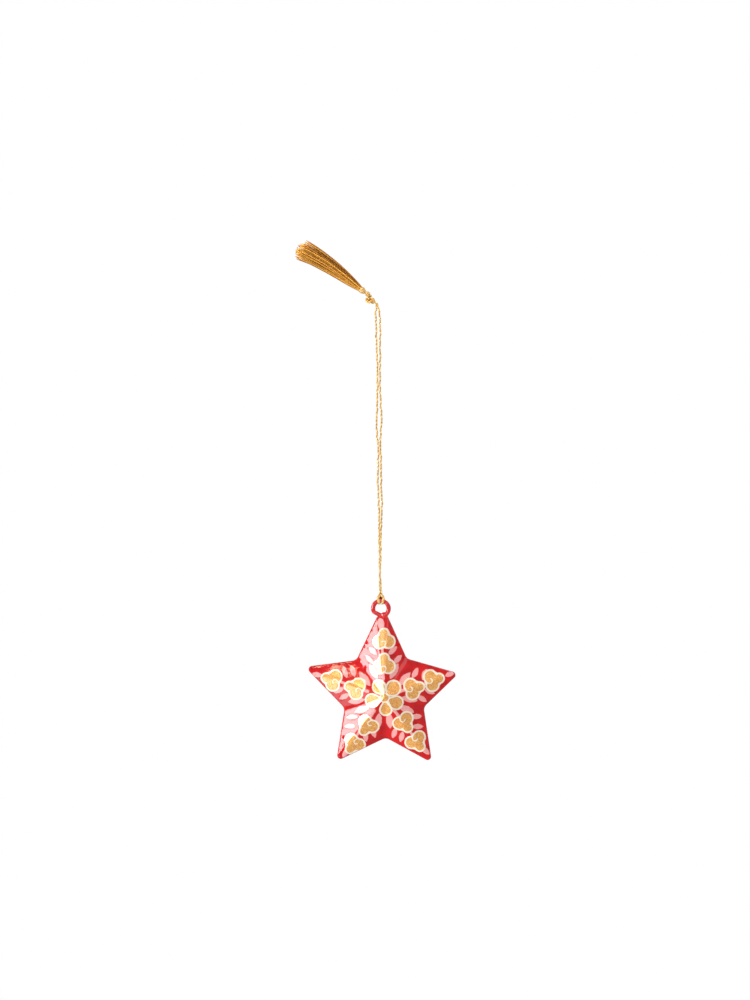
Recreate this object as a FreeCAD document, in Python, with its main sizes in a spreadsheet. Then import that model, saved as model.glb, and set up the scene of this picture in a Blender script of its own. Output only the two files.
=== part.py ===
"""Pressed tin star that hangs by a wire eye from a doubled gold thread with a tassel.

The star is two dished half shells soldered rim to rim, with a bent wire eye let into the top tip.
A gold thread is hitched to the eye. Its two strands rise to an overhand knot, and a tassel stands
out of the knot. Everything is in millimetres. +Z is up, -Y is the front, and the origin is the
crotch of the thread loop, where it hangs on a hook.
"""

import FreeCAD
import Part

import math
import os

import Sketcher
from FreeCAD import Placement, Rotation, Vector

DRIVING_SIZES = (
    ("tip_reach", 40.0, "centre of the star to the sharp corner of an ordinary tip"),
    ("notch_reach", 20.4, "centre of the star to the sharp corner of an ordinary notch"),
    ("tip_radius", 1.7, "rounding of the four free tips"),
    ("eye_tip_radius", 3.3, "rounding of the blunt top tip that holds the eye"),
    ("notch_radius", 3.5, "rounding of the notches between the arms"),
    ("rim_depth", 0.8, "upright rim of a half shell"),
    ("crown_depth", 12.0, "seam plane to the middle of a half shell"),
    ("rim_rounding", 0.8, "rolled edge between the rim and the facets"),
    ("tin_wall", 0.35, "sheet thickness"),
    ("star_shift", 0.42, "centre of the star to the right of the hang point"),
    ("seam_proud", 0.16, "solder standing out of the rim"),
    ("seam_depth", 0.7, "solder bead from front to back"),
    ("wire_diameter", 2.1, "eye wire"),
    ("wire_gap", 0.05, "room around the wire where it passes through the tin"),
    ("eye_bore", 5.4, "inside of the eye"),
    ("eye_shift", -0.35, "centre of the eye to the right of the hang point"),
    ("eye_stand", 3.1, "top of the blunt tip up to the centre of the eye"),
    ("shank_offset", 1.8, "shank to the right of the eye's centre"),
    ("shank_length", 7.0, "straight shank inside the star"),
    ("neck_bend_radius", 1.6, "bend between the ring and the shank"),
    ("close_bend_radius", 1.7, "tighter bend where the ring turns in to close"),
    ("close_start_drop", 0.65, "eye's centre down to the start of that bend"),
    ("close_run", 3.7, "straight end of the wire that closes on the shank"),
    ("solder_width", 3.6, "lump of solder at the tip, across"),
    ("solder_height", 3.2, "lump of solder, up and down"),
    ("solder_depth", 2.9, "lump of solder, front to back"),
    ("solder_offset", 1.6, "lump to the right of the eye's centre"),
    ("solder_drop", 3.3, "lump below the eye's centre"),
    ("cord_diameter", 0.85, "twisted gold thread"),
    ("strand_drop", 137.9, "hang point down to the foot of the strands"),
    ("hitch_rise", 3.87, "pivot of the star up to the foot of the strands"),
    ("turn_gap", 0.15, "room between the strands and the hitch"),
    ("loop_width", 1.3, "thread pressed flat round the wire, across"),
    ("loop_thickness", 0.55, "thread pressed flat round the wire, through"),
    ("loop_spread", 1.9, "between the middles of the two turns round the wire"),
    ("loop_gap", 0.25, "running room between the wire and the turns"),
    ("arch_rise", 2.05, "straight sides of the bight in front"),
    ("tail_overlap", 0.3, "tail laid along the turn it grows out of"),
    ("tail_knee_spread", 1.7, "between the lower bends of the two tails"),
    ("tail_knee_back", 0.6, "lower bend of a tail behind the pivot"),
    ("tail_knee_rise", 2.0, "lower bend of a tail above the pivot"),
    ("tail_end_spread", 0.6, "between the tails at the top"),
    ("tail_end_depth", 0.66, "between the tails at the top, front to back"),
    ("tail_end_run", 0.55, "upright end of a tail"),
    ("knot_shift", -3.5, "middle of the knot to the right of the hang point"),
    ("knot_rise", 3.6, "middle of the knot above the hang point"),
    ("knot_length", 4.4, "overhand knot, end to end"),
    ("knot_width", 3.6, "overhand knot, across"),
    ("knot_depth", 3.3, "overhand knot, front to back"),
    ("turn_radius", 1.2, "turns of thread round the knot, to the thread's middle"),
    ("turn_thickness", 1.2, "doubled thread in a turn"),
    ("turn_pitch", 1.4, "between the knot's two turns"),
    ("lead_diameter", 1.3, "two strands laid together between the knot and the loop"),
    ("lead_root_shift", -2.6, "lead's root inside the knot, to the right of the hang point"),
    ("lead_root_rise", 3.5, "lead's root above the hang point"),
    ("lead_elbow_shift", -1.25, "upper bend of the lead"),
    ("lead_elbow_rise", 2.6, "upper bend of the lead above the hang point"),
    ("lead_knee_shift", -0.12, "lower bend of the lead"),
    ("lead_knee_rise", 1.2, "lower bend of the lead above the hang point"),
    ("lead_end_rise", 0.15, "end of the lead above the hang point"),
    ("neck_shift", -4.34, "root of the tassel to the right of the hang point"),
    ("neck_rise", 6.09, "root of the tassel above the hang point"),
    ("neck_radius", 1.3, "round end of the knot that the tassel turns on"),
    ("neck_gap", 0.4, "room between the knot and the collar"),
    ("collar_length", 2.7, "wound collar of the tassel"),
    ("collar_wall", 0.25, "wound thread of the collar at its ends"),
    ("collar_swell", 0.2, "how much the collar swells in its middle"),
    ("collar_gap", 0.06, "room between the collar and the fringe"),
    ("fringe_length", 35.9, "collar to the longest threads"),
    ("fringe_inset", 2.2, "how far the threads reach back inside the collar"),
    ("fringe_head", 0.5, "threads knotted together inside the collar"),
    ("neck_pitch", 0.46, "between neighbouring locks at the collar"),
    ("tip_pitch", 2.2, "between neighbouring locks at their tips"),
    ("lock_gap", 0.06, "air between neighbouring locks"),
)

CLOSE_ANGLE = 27.6
WRAP_ANGLE = 35.0
KNOT_ANGLE = 132.0
TURN_LEAN = 24.0
TASSEL_ANGLE = 145.4
TIP_ANGLES = (89.9, 159.8, 233.7, 304.3, 374.9)
NOTCH_ANGLES = (127.8, 198.1, 271.9, 341.4, 416.6)
TIP_REACH_SHARES = (1.07, 1.0, 0.98, 1.0, 0.93)
NOTCH_REACH_SHARES = (1.03, 0.97, 1.01, 0.98, 1.0)
ARM_COUNT = len(TIP_ANGLES)
HALF_ARM_ANGLE = 180.0 / ARM_COUNT

# Places along the two strands, from the hang point down: across and forward in thread diameters,
# down in shares of the drop to the hitch.
LEFT_STRAND_SHARES = (
    (-0.73, 0.0, 0.004),
    (-0.88, 0.0, 0.05),
    (-0.61, 0.0, 0.14),
    (-0.73, 0.12, 0.275),
    (-1.35, 0.0, 0.42),
    (-0.45, 0.12, 0.51),
    (-0.94, 0.0, 0.61),
    (-0.73, 0.24, 0.71),
    (-0.73, 0.47, 0.81),
    (-0.88, 0.59, 0.915),
    (-0.76, 0.39, 1.0),
)
RIGHT_STRAND_SHARES = (
    (0.73, 0.0, 0.004),
    (1.32, 0.0, 0.05),
    (1.15, 0.0, 0.14),
    (1.12, -0.12, 0.275),
    (1.0, 0.0, 0.42),
    (0.65, -0.12, 0.51),
    (0.65, 0.0, 0.61),
    (0.41, -0.24, 0.71),
    (-0.18, -0.47, 0.81),
    (-0.53, -0.59, 0.915),
    (-0.06, -0.39, 1.0),
)
ARC_SHARE = 0.45

# The rolled edge between the rim and the facets, in shares of its rounding: how far in from the
# rim, and how far past the rim's depth.
ROLL_SHARES = ((0.0, -0.54), (0.12, -0.065), (0.45, 0.3))

# How the fringe spreads along its length, both in shares: the place, and the spread there.
LOCK_SPREAD_SHARES = ((0.0, 0.0), (0.06, 0.01), (0.26, 0.33), (0.49, 0.63), (1.0, 1.0))
LOCK_RINGS = 2
LOCK_RAG_SHARE = 0.09
LOCK_RAG_STEPS = 7

EYE_RADIUS = "((Sizes.eye_bore + Sizes.wire_diameter) / 2)"
PIVOT_Z = "(-Sizes.strand_drop - Sizes.hitch_rise)"
EYE_Z = f"({PIVOT_Z} - sqrt({EYE_RADIUS}^2 - (Sizes.loop_spread / 2)^2))"
EYE_TIP_REACH = f"(Sizes.tip_reach * {TIP_REACH_SHARES[0]})"
EYE_NOTCH_REACH = f"(Sizes.notch_reach * {(NOTCH_REACH_SHARES[0] + NOTCH_REACH_SHARES[-1]) / 2})"
EYE_TIP_SINE = (
    f"({EYE_NOTCH_REACH} * sin({HALF_ARM_ANGLE}) / sqrt({EYE_TIP_REACH}^2 + {EYE_NOTCH_REACH}^2"
    f" - 2 * {EYE_TIP_REACH} * {EYE_NOTCH_REACH} * cos({HALF_ARM_ANGLE})))"
)
EYE_TIP_TOP = f"({EYE_TIP_REACH} - Sizes.eye_tip_radius * (1 / {EYE_TIP_SINE} - 1))"
STAR_Z = f"({EYE_Z} - {EYE_TIP_TOP} - Sizes.eye_stand)"
SHANK_FOOT_Z = (
    f"(-sqrt(({EYE_RADIUS} + Sizes.neck_bend_radius)^2"
    " - (Sizes.shank_offset + Sizes.neck_bend_radius)^2) - Sizes.shank_length)"
)
FACET_RUN = (
    f"(Sizes.tip_reach * Sizes.notch_reach * sin({HALF_ARM_ANGLE})"
    " / sqrt(Sizes.tip_reach^2 + Sizes.notch_reach^2"
    f" - 2 * Sizes.tip_reach * Sizes.notch_reach * cos({HALF_ARM_ANGLE})))"
)
CROWN_RISE = "(Sizes.crown_depth - Sizes.rim_depth)"
CAVITY_SHARE = f"(1 - Sizes.tin_wall / {FACET_RUN})"
APEX_WALL = f"(Sizes.tin_wall * sqrt(1 + ({CROWN_RISE} / {FACET_RUN})^2))"
CAVITY_RIM = f"(Sizes.rim_depth + {CROWN_RISE} * (1 - {CAVITY_SHARE}) - {APEX_WALL})"
TURN_RADIUS = "(Sizes.wire_diameter / 2 + Sizes.loop_gap + Sizes.loop_thickness / 2)"
TAIL_RADIUS = "(Sizes.wire_diameter / 2 + Sizes.loop_gap + Sizes.cord_diameter / 2)"
COLLAR_BORE = (
    f"({LOCK_RINGS} * Sizes.neck_pitch + (Sizes.neck_pitch - Sizes.lock_gap) / 2"
    " + Sizes.collar_gap)"
)

doc = FreeCAD.newDocument("TinStar")


def make_sizes():
    """Write the driving sizes into the sheet, one alias each, and return their values."""
    sheet = doc.addObject("Spreadsheet::Sheet", "Sizes")
    for row, (alias, value, meaning) in enumerate(DRIVING_SIZES, start=1):
        sheet.set(f"A{row}", alias)
        sheet.set(f"B{row}", str(value))
        sheet.set(f"C{row}", meaning)
        sheet.setAlias(f"B{row}", alias)
    doc.recompute()
    return {alias: float(getattr(sheet, alias)) for alias, _, _ in DRIVING_SIZES}


SIZE = make_sizes()


def bind(thing, **expressions):
    """Bind properties to expressions; two underscores in a name stand for a dot."""
    for name, expression in expressions.items():
        thing.setExpression(name.replace("__", "."), expression)


def origin_plane(body, role):
    """Return one of the body's own origin planes."""
    return next(item for item in body.Origin.OriginFeatures if item.Role == role)


def add_sketch(body, name, role, offset=None):
    """Add a sketch on an origin plane of the body, moved along its normal by an expression."""
    sketch = body.newObject("Sketcher::SketchObject", name)
    sketch.AttachmentSupport = (origin_plane(body, role), [""])
    sketch.MapMode = "FlatFace"
    if offset is not None:
        bind(sketch, AttachmentOffset__Base__z=offset)
    return sketch


def fix_place(sketch, geometry, vertex, across, up):
    """Hold a sketch point at a distance across and up from the sketch's origin."""
    for kind, expression in (("DistanceX", across), ("DistanceY", up)):
        start = sketch.getPoint(geometry, vertex)
        value = start.x if kind == "DistanceX" else start.y
        index = sketch.addConstraint(Sketcher.Constraint(kind, -1, 1, geometry, vertex, value))
        sketch.setExpression(f"Constraints[{index}]", expression)


def fix_size(sketch, constraint, expression):
    """Add a constraint with a size and bind that size."""
    index = sketch.addConstraint(constraint)
    sketch.setExpression(f"Constraints[{index}]", expression)


def star_corners():
    """Yield each corner's reach alias, share of it, angle and rounding alias, round the star."""
    for arm in range(ARM_COUNT):
        rounding = "eye_tip_radius" if arm == 0 else "tip_radius"
        yield "tip_reach", TIP_REACH_SHARES[arm], TIP_ANGLES[arm], rounding
        yield "notch_reach", NOTCH_REACH_SHARES[arm], NOTCH_ANGLES[arm], "notch_radius"


def add_star_outline(body, name, offset, share="1"):
    """Draw the rounded star outline, scaled by a share about its centre."""
    sketch = add_sketch(body, name, "XZ_Plane", offset)
    scale = float(doc.getObject("Sizes").evalExpression(share.replace("Sizes.", "")))
    corners = list(star_corners())
    count = len(corners)
    places = [
        Vector(math.cos(math.radians(angle)), math.sin(math.radians(angle)), 0)
        * (SIZE[reach] * reach_share * scale)
        for reach, reach_share, angle, _ in corners
    ]
    cuts = []
    for i in range(count):
        back = (places[i - 1] - places[i]).normalize()
        ahead = (places[(i + 1) % count] - places[i]).normalize()
        half = back.getAngle(ahead) / 2
        radius = SIZE[corners[i][3]] * scale
        bisector = (back + ahead).normalize()
        middle = places[i] + bisector * (radius / math.sin(half))
        near = places[i] + back * (radius / math.tan(half))
        far = places[i] + ahead * (radius / math.tan(half))
        cuts.append((near, middle - bisector * radius, far))
    for i in range(count):
        sketch.addGeometry(Part.LineSegment(cuts[i][2], cuts[(i + 1) % count][0]), False)
    for i in range(count):
        sketch.addGeometry(Part.Arc(*cuts[i]), False)
    for place in places:
        sketch.addGeometry(Part.Point(place), True)
    for i, (reach, reach_share, angle, rounding) in enumerate(corners):
        line_in, line_out, arc, point = (i - 1) % count, i, count + i, 2 * count + i
        arc_start = sketch.getPoint(arc, 1)
        starts_first = arc_start.distanceToPoint(cuts[i][0]) < arc_start.distanceToPoint(cuts[i][2])
        near_end, far_end = (1, 2) if starts_first else (2, 1)
        reach_now = f"Sizes.{reach} * {reach_share} * {share}"
        fix_place(sketch, point, 1, f"{reach_now} * cos({angle})", f"{reach_now} * sin({angle})")
        sketch.addConstraint(Sketcher.Constraint("Tangent", line_in, 2, arc, near_end))
        sketch.addConstraint(Sketcher.Constraint("Tangent", arc, far_end, line_out, 1))
        sketch.addConstraint(Sketcher.Constraint("PointOnObject", point, 1, line_in))
        sketch.addConstraint(Sketcher.Constraint("PointOnObject", point, 1, line_out))
        radius = SIZE[rounding] * scale
        fix_size(
            sketch, Sketcher.Constraint("Radius", arc, radius), f"Sizes.{rounding} * {share}"
        )
    return sketch


def add_apex(body, name, offset):
    """Put a single point on the star's axis, where the facets meet."""
    sketch = add_sketch(body, name, "XZ_Plane", offset)
    sketch.addGeometry(Part.Point(Vector(0, 0, 0)), False)
    sketch.addConstraint(Sketcher.Constraint("Coincident", 0, 1, -1, 1))
    return sketch


def add_dish(body, kind, name, levels, apex):
    """Loft the outline through its levels up the rim, and then by flat facets to a point."""
    outlines = [
        add_star_outline(body, f"{name}Level{number}", depth, share)
        for number, (depth, share) in enumerate(levels)
    ]
    point = add_apex(body, f"{name}Apex", apex)
    loft = body.newObject(kind, name)
    loft.Profile = outlines[0]
    loft.Sections = [(outline, [""]) for outline in outlines[1:]] + [(point, ["Vertex1"])]
    loft.Ruled = True
    doc.recompute()
    return loft


def add_star_body(name):
    """Make a body that sits at the star's centre."""
    body = doc.addObject("PartDesign::Body", name)
    bind(body, Placement__Base__x="Sizes.star_shift", Placement__Base__z=STAR_Z)
    return body


def pressing_levels():
    """List the depths and scales of the outline from the seam up over the rolled edge."""
    levels = [("0", "1")]
    for inset, rise in ROLL_SHARES:
        depth = f"Sizes.rim_depth + {rise} * Sizes.rim_rounding"
        levels.append((depth, f"(1 - {inset} * Sizes.rim_rounding / {FACET_RUN})"))
    return levels


def make_pressing():
    """Press one half shell: an upright rim, a rolled edge and ten facets, hollow behind."""
    body = add_star_body("HalfPressing")
    add_dish(
        body, "PartDesign::AdditiveLoft", "Dish", pressing_levels(), "Sizes.crown_depth"
    )
    hollow = [("0", CAVITY_SHARE), (CAVITY_RIM, CAVITY_SHARE)]
    apex = f"Sizes.crown_depth - {APEX_WALL}"
    add_dish(body, "PartDesign::SubtractiveLoft", "Hollow", hollow, apex)
    return body


def eye_path_points():
    """Work out the joints of the eye's centreline, about the eye's centre, from the shank up."""
    ring = (SIZE["eye_bore"] + SIZE["wire_diameter"]) / 2
    neck = SIZE["neck_bend_radius"]
    turn = math.acos((SIZE["shank_offset"] + neck) / (ring + neck))
    neck_middle = Vector(math.cos(turn), -math.sin(turn), 0) * (ring + neck)
    shank_top = neck_middle - Vector(neck, 0, 0)
    shank_low = shank_top - Vector(0, SIZE["shank_length"], 0)
    ring_start = Vector(math.cos(turn), -math.sin(turn), 0) * ring
    rise = math.pi + math.asin(SIZE["close_start_drop"] / ring)
    ring_end = Vector(math.cos(rise), math.sin(rise), 0) * ring
    close = SIZE["close_bend_radius"]
    close_middle = ring_end * ((ring - close) / ring)
    fall = math.radians(CLOSE_ANGLE)
    along = Vector(math.cos(fall), -math.sin(fall), 0)
    close_end = close_middle + Vector(-math.sin(fall), -math.cos(fall), 0) * close
    tip = close_end + along * SIZE["close_run"]
    return {
        "shank_low": shank_low,
        "shank_top": shank_top,
        "neck_middle": neck_middle,
        "ring_start": ring_start,
        "ring_end": ring_end,
        "close_middle": close_middle,
        "close_end": close_end,
        "tip": tip,
    }


def arc_between(middle, start, end, ring_side):
    """Draw an arc about a middle from start to end, passing on the side of the given direction."""
    radius = (start - middle).Length
    return Part.Arc(start, middle + ring_side.normalize() * radius, end)


def add_eye_path(body, name):
    """Draw the bent wire's centreline: shank, neck bend, ring, closing bend and closing end."""
    at = eye_path_points()
    path = add_sketch(body, name, "XZ_Plane")
    path.addGeometry(Part.LineSegment(at["shank_low"], at["shank_top"]), False)
    neck_side = (at["shank_top"] + at["ring_start"]) / 2 - at["neck_middle"]
    path.addGeometry(
        arc_between(at["neck_middle"], at["shank_top"], at["ring_start"], neck_side), False
    )
    path.addGeometry(
        arc_between(Vector(), at["ring_start"], at["ring_end"], Vector(0, 1, 0)), False
    )
    close_side = (at["ring_end"] + at["close_end"]) / 2 - at["close_middle"]
    path.addGeometry(
        arc_between(at["close_middle"], at["ring_end"], at["close_end"], close_side), False
    )
    path.addGeometry(Part.LineSegment(at["close_end"], at["tip"]), False)

    def end_near(geometry, place):
        """Tell which end of a piece of the path lies at a place."""
        first = path.getPoint(geometry, 1)
        return 1 if first.distanceToPoint(place) < SIZE["wire_gap"] else 2

    for before, after, place in (
        (0, 1, at["shank_top"]),
        (1, 2, at["ring_start"]),
        (2, 3, at["ring_end"]),
        (3, 4, at["close_end"]),
    ):
        ends = (before, end_near(before, place), after, end_near(after, place))
        path.addConstraint(Sketcher.Constraint("Tangent", *ends))
    path.addConstraint(Sketcher.Constraint("Vertical", 0))
    path.addConstraint(Sketcher.Constraint("Coincident", 2, 3, -1, 1))
    ring = (SIZE["eye_bore"] + SIZE["wire_diameter"]) / 2
    fix_size(path, Sketcher.Constraint("Radius", 2, ring), EYE_RADIUS)
    neck = SIZE["neck_bend_radius"]
    fix_size(path, Sketcher.Constraint("Radius", 1, neck), "Sizes.neck_bend_radius")
    close = SIZE["close_bend_radius"]
    fix_size(path, Sketcher.Constraint("Radius", 3, close), "Sizes.close_bend_radius")
    shank = Sketcher.Constraint("DistanceX", -1, 1, 0, 1, SIZE["shank_offset"])
    fix_size(path, shank, "Sizes.shank_offset")
    length = Sketcher.Constraint("Distance", 0, SIZE["shank_length"])
    fix_size(path, length, "Sizes.shank_length")
    ring_end = end_near(2, at["ring_end"])
    drop = Sketcher.Constraint("DistanceY", 2, ring_end, -1, 1, SIZE["close_start_drop"])
    fix_size(path, drop, "Sizes.close_start_drop")
    run = Sketcher.Constraint("Distance", 4, SIZE["close_run"])
    fix_size(path, run, "Sizes.close_run")
    across = at["tip"].x - at["close_end"].x
    reach = Sketcher.Constraint("DistanceX", 4, 1, 4, 2, across)
    fix_size(path, reach, f"Sizes.close_run * cos({CLOSE_ANGLE})")
    return path


def make_wire(name, room="0"):
    """Bend the eye wire, with extra room round it where asked."""
    body = doc.addObject("PartDesign::Body", name)
    bind(body, Placement__Base__x="Sizes.eye_shift", Placement__Base__z=EYE_Z)
    path = add_eye_path(body, f"{name}Path")
    foot = add_sketch(body, f"{name}Section", "XY_Plane", SHANK_FOOT_Z)
    middle = Vector(SIZE["shank_offset"], 0, 0)
    foot.addGeometry(Part.Circle(middle, Vector(0, 0, 1), SIZE["wire_diameter"] / 2), False)
    foot.addConstraint(Sketcher.Constraint("PointOnObject", 0, 3, -1))
    place = Sketcher.Constraint("DistanceX", -1, 1, 0, 3, middle.x)
    fix_size(foot, place, "Sizes.shank_offset")
    radius = Sketcher.Constraint("Radius", 0, SIZE["wire_diameter"] / 2)
    fix_size(foot, radius, f"Sizes.wire_diameter / 2 + {room}")
    doc.recompute()
    pipe = body.newObject("PartDesign::AdditivePipe", f"{name}Bend")
    pipe.Profile = foot
    pipe.Spine = (path, [""])
    doc.recompute()
    return body


def number(expression):
    """Work out an expression of the sheet's sizes in millimetres."""
    return float(doc.getObject("Sizes").evalExpression(expression.replace("Sizes.", "")))


def cut(name, base, tool):
    """Cut one solid out of another."""
    result = doc.addObject("Part::Cut", name)
    result.Base = base
    result.Tool = tool
    return result


def fuse(name, pieces):
    """Join pieces into one solid."""
    result = doc.addObject("Part::MultiFuse", name)
    result.Shapes = pieces
    result.Refine = False
    return result


def mirror_to_back(name, source):
    """Copy a piece to the other side of the seam plane."""
    result = doc.addObject("Part::Mirroring", name)
    result.Source = source
    result.Normal = Vector(0, 1, 0)
    result.Base = Vector(0, 0, 0)
    return result


def make_seam():
    """Lay the solder bead round the two rims, with its corners worn round."""
    body = add_star_body("SeamRing")
    half = "Sizes.seam_depth / 2"
    worn = f"(1 + Sizes.seam_proud / 3 / {FACET_RUN})"
    proud = f"(1 + Sizes.seam_proud / {FACET_RUN})"
    levels = ((f"-{half}", worn), (f"-{half} / 2", proud), (f"{half} / 2", proud), (half, worn))
    outlines = [
        add_star_outline(body, f"SeamLevel{number}", depth, share)
        for number, (depth, share) in enumerate(levels)
    ]
    loft = body.newObject("PartDesign::AdditiveLoft", "SeamBlank")
    loft.Profile = outlines[0]
    loft.Sections = [(outline, [""]) for outline in outlines[1:]]
    loft.Ruled = True
    inside = add_star_outline(body, "SeamInside", "0")
    pocket = body.newObject("PartDesign::Pocket", "SeamHole")
    pocket.Profile = inside
    pocket.Type = "ThroughAll"
    pocket.Midplane = True
    return body


def make_star_block():
    """Fill the outline of both shells, to shape the solder that sits on them."""
    body = add_star_body("HalfBlock")
    add_dish(
        body, "PartDesign::AdditiveLoft", "Block", pressing_levels(), "Sizes.crown_depth"
    )
    return body


def bent_wire(points):
    """Join places by straight runs with a tangent arc at each bend."""
    edges = []
    last = points[0]
    for before, corner, after in zip(points, points[1:], points[2:]):
        back = before - corner
        ahead = after - corner
        cut_back = min(back.Length, ahead.Length) * ARC_SHARE
        half_turn = (math.pi - back.getAngle(ahead)) / 2
        near = corner + back.normalize() * cut_back
        far = corner + ahead.normalize() * cut_back
        radius = cut_back / math.tan(half_turn)
        bisector = (back + ahead).normalize()
        middle = corner + bisector * (radius / math.cos(half_turn) - radius)
        edges.append(Part.makeLine(last, near))
        edges.append(Part.Arc(near, middle, far).toShape())
        last = far
    edges.append(Part.makeLine(last, points[-1]))
    return Part.Wire(edges)


def make_tube(name, points, diameter):
    """Run a round thread through places in space."""
    path = doc.addObject("Part::Feature", f"{name}Path")
    path.Shape = bent_wire(points)
    section = doc.addObject("Part::Circle", f"{name}Section")
    section.Placement = Placement(points[0], Rotation(Vector(0, 0, 1), points[1] - points[0]))
    bind(section, Radius=f"{diameter} / 2")
    tube = doc.addObject("Part::Sweep", name)
    tube.Sections = [section]
    tube.Spine = (path, [f"Edge{i + 1}" for i in range(len(path.Shape.Edges))])
    tube.Solid = True
    return tube


def make_strand(name, shares):
    """Run one strand from the loop's crotch down to the hitch."""
    thread = SIZE["cord_diameter"]
    drop = SIZE["strand_drop"]
    points = [Vector(x * thread, y * thread, -z * drop) for x, y, z in shares]
    return make_tube(name, points, "Sizes.cord_diameter")


def make_turn(side):
    """Press a turn of thread flat round the underside of the wire, from front to back."""
    name = "RightTurn" if side > 0 else "LeftTurn"
    section = doc.addObject("Part::Ellipse", f"{name}Section")
    bind(
        section,
        MajorRadius="Sizes.loop_width / 2",
        MinorRadius="Sizes.loop_thickness / 2",
        Placement__Base__x=f"{side} * Sizes.loop_spread / 2",
        Placement__Base__y=f"-{TURN_RADIUS}",
    )
    turn = doc.addObject("Part::Revolution", name)
    turn.Source = section
    turn.Base = Vector(0, 0, 0)
    turn.Axis = Vector(1, 0, 0)
    turn.Angle = 180 + WRAP_ANGLE
    turn.Solid = True
    return section, turn


def make_arch(section):
    """Bend the bight that closes the two turns in front of the wire."""
    half = SIZE["loop_spread"] / 2
    rise = SIZE["arch_rise"]
    front = -number(TURN_RADIUS)
    path = doc.addObject("Sketcher::SketchObject", "ArchPath")
    path.Placement = Placement(Vector(0, front, 0), Rotation(Vector(1, 0, 0), 90))
    bind(path, Placement__Base__y=f"-{TURN_RADIUS}")
    path.addGeometry(Part.LineSegment(Vector(half, 0, 0), Vector(half, rise, 0)), False)
    top = Part.Arc(Vector(half, rise, 0), Vector(0, rise + half, 0), Vector(-half, rise, 0))
    path.addGeometry(top, False)
    path.addGeometry(Part.LineSegment(Vector(-half, rise, 0), Vector(-half, 0, 0)), False)
    right_end = 1 if path.getPoint(1, 1).x > 0 else 2
    left_end = 3 - right_end
    path.addConstraint(Sketcher.Constraint("Tangent", 0, 2, 1, right_end))
    path.addConstraint(Sketcher.Constraint("Tangent", 1, left_end, 2, 1))
    path.addConstraint(Sketcher.Constraint("Vertical", 0))
    fix_size(path, Sketcher.Constraint("DistanceX", -1, 1, 0, 1, half), "Sizes.loop_spread / 2")
    fix_size(path, Sketcher.Constraint("Radius", 1, half), "Sizes.loop_spread / 2")
    fix_size(path, Sketcher.Constraint("Distance", 0, rise), "Sizes.arch_rise")
    path.addConstraint(Sketcher.Constraint("PointOnObject", 0, 1, -1))
    path.addConstraint(Sketcher.Constraint("PointOnObject", 2, 2, -1))
    doc.recompute()
    arch = doc.addObject("Part::Sweep", "Arch")
    arch.Sections = [section]
    arch.Spine = (path, ["Edge1", "Edge2", "Edge3"])
    arch.Solid = True
    return arch


def make_tail(side):
    """Lead a tail from behind the wire up to the foot of a strand."""
    reach = number(TAIL_RADIUS)
    wrap = math.radians(WRAP_ANGLE)
    overlap = SIZE["tail_overlap"]
    top = SIZE["hitch_rise"] - SIZE["turn_gap"]
    end_x = side * SIZE["tail_end_spread"] / 2
    end_y = -side * SIZE["tail_end_depth"] / 2
    points = [
        Vector(
            side * SIZE["loop_spread"] / 2,
            reach * math.cos(wrap) + overlap * math.sin(wrap),
            reach * math.sin(wrap) - overlap * math.cos(wrap),
        ),
        Vector(side * SIZE["tail_knee_spread"] / 2, SIZE["tail_knee_back"], SIZE["tail_knee_rise"]),
        Vector(end_x, end_y, top - SIZE["tail_end_run"]),
        Vector(end_x, end_y, top),
    ]
    name = "RightTail" if side > 0 else "LeftTail"
    return make_tube(name, points, "Sizes.cord_diameter")


def make_hitch():
    """Hitch the doubled thread to the eye: a bight in front, two turns and two tails behind."""
    right_section, right_turn = make_turn(1)
    _, left_turn = make_turn(-1)
    doc.recompute()
    arch = make_arch(right_section)
    hitch = fuse("cord_hitch", [right_turn, left_turn, arch, make_tail(1), make_tail(-1)])
    bind(hitch, Placement__Base__x="Sizes.eye_shift", Placement__Base__z=PIVOT_Z)
    return hitch


def lean(thing, angle, x, z):
    """Turn a piece's own axis to an angle from +X in the seam plane and move it there."""
    thing.Placement = Placement(Vector(), Rotation(Vector(0, 1, 0), 90 - angle))
    bind(thing, Placement__Base__x=x, Placement__Base__z=z)


def make_knot():
    """Tie the overhand knot: a round body, two leaning turns, a round top and a lead."""
    middle = doc.addObject("Part::Ellipsoid", "KnotMiddle")
    bind(
        middle,
        Radius1="Sizes.knot_length / 2",
        Radius2="Sizes.knot_width / 2",
        Radius3="Sizes.knot_depth / 2",
    )
    lean(middle, KNOT_ANGLE, "Sizes.knot_shift", "Sizes.knot_rise")
    turns = []
    for side in (1, -1):
        turn = doc.addObject("Part::Torus", "UpperTurn" if side > 0 else "LowerTurn")
        bind(turn, Radius1="Sizes.turn_radius", Radius2="Sizes.turn_thickness / 2")
        lean(
            turn,
            KNOT_ANGLE + side * TURN_LEAN,
            f"Sizes.knot_shift + {side} * Sizes.turn_pitch / 2 * cos({KNOT_ANGLE})",
            f"Sizes.knot_rise + {side} * Sizes.turn_pitch / 2 * sin({KNOT_ANGLE})",
        )
        turns.append(turn)
    top = doc.addObject("Part::Sphere", "KnotTop")
    bind(
        top,
        Radius="Sizes.neck_radius",
        Placement__Base__x="Sizes.neck_shift",
        Placement__Base__z="Sizes.neck_rise",
    )
    lead_points = [
        Vector(SIZE["lead_root_shift"], 0, SIZE["lead_root_rise"]),
        Vector(SIZE["lead_elbow_shift"], 0, SIZE["lead_elbow_rise"]),
        Vector(SIZE["lead_knee_shift"], 0, SIZE["lead_knee_rise"]),
        Vector(0, 0, SIZE["lead_end_rise"]),
    ]
    lead = make_tube("Lead", lead_points, "Sizes.lead_diameter")
    return fuse("cord_knot", [middle, *turns, top, lead])


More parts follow.
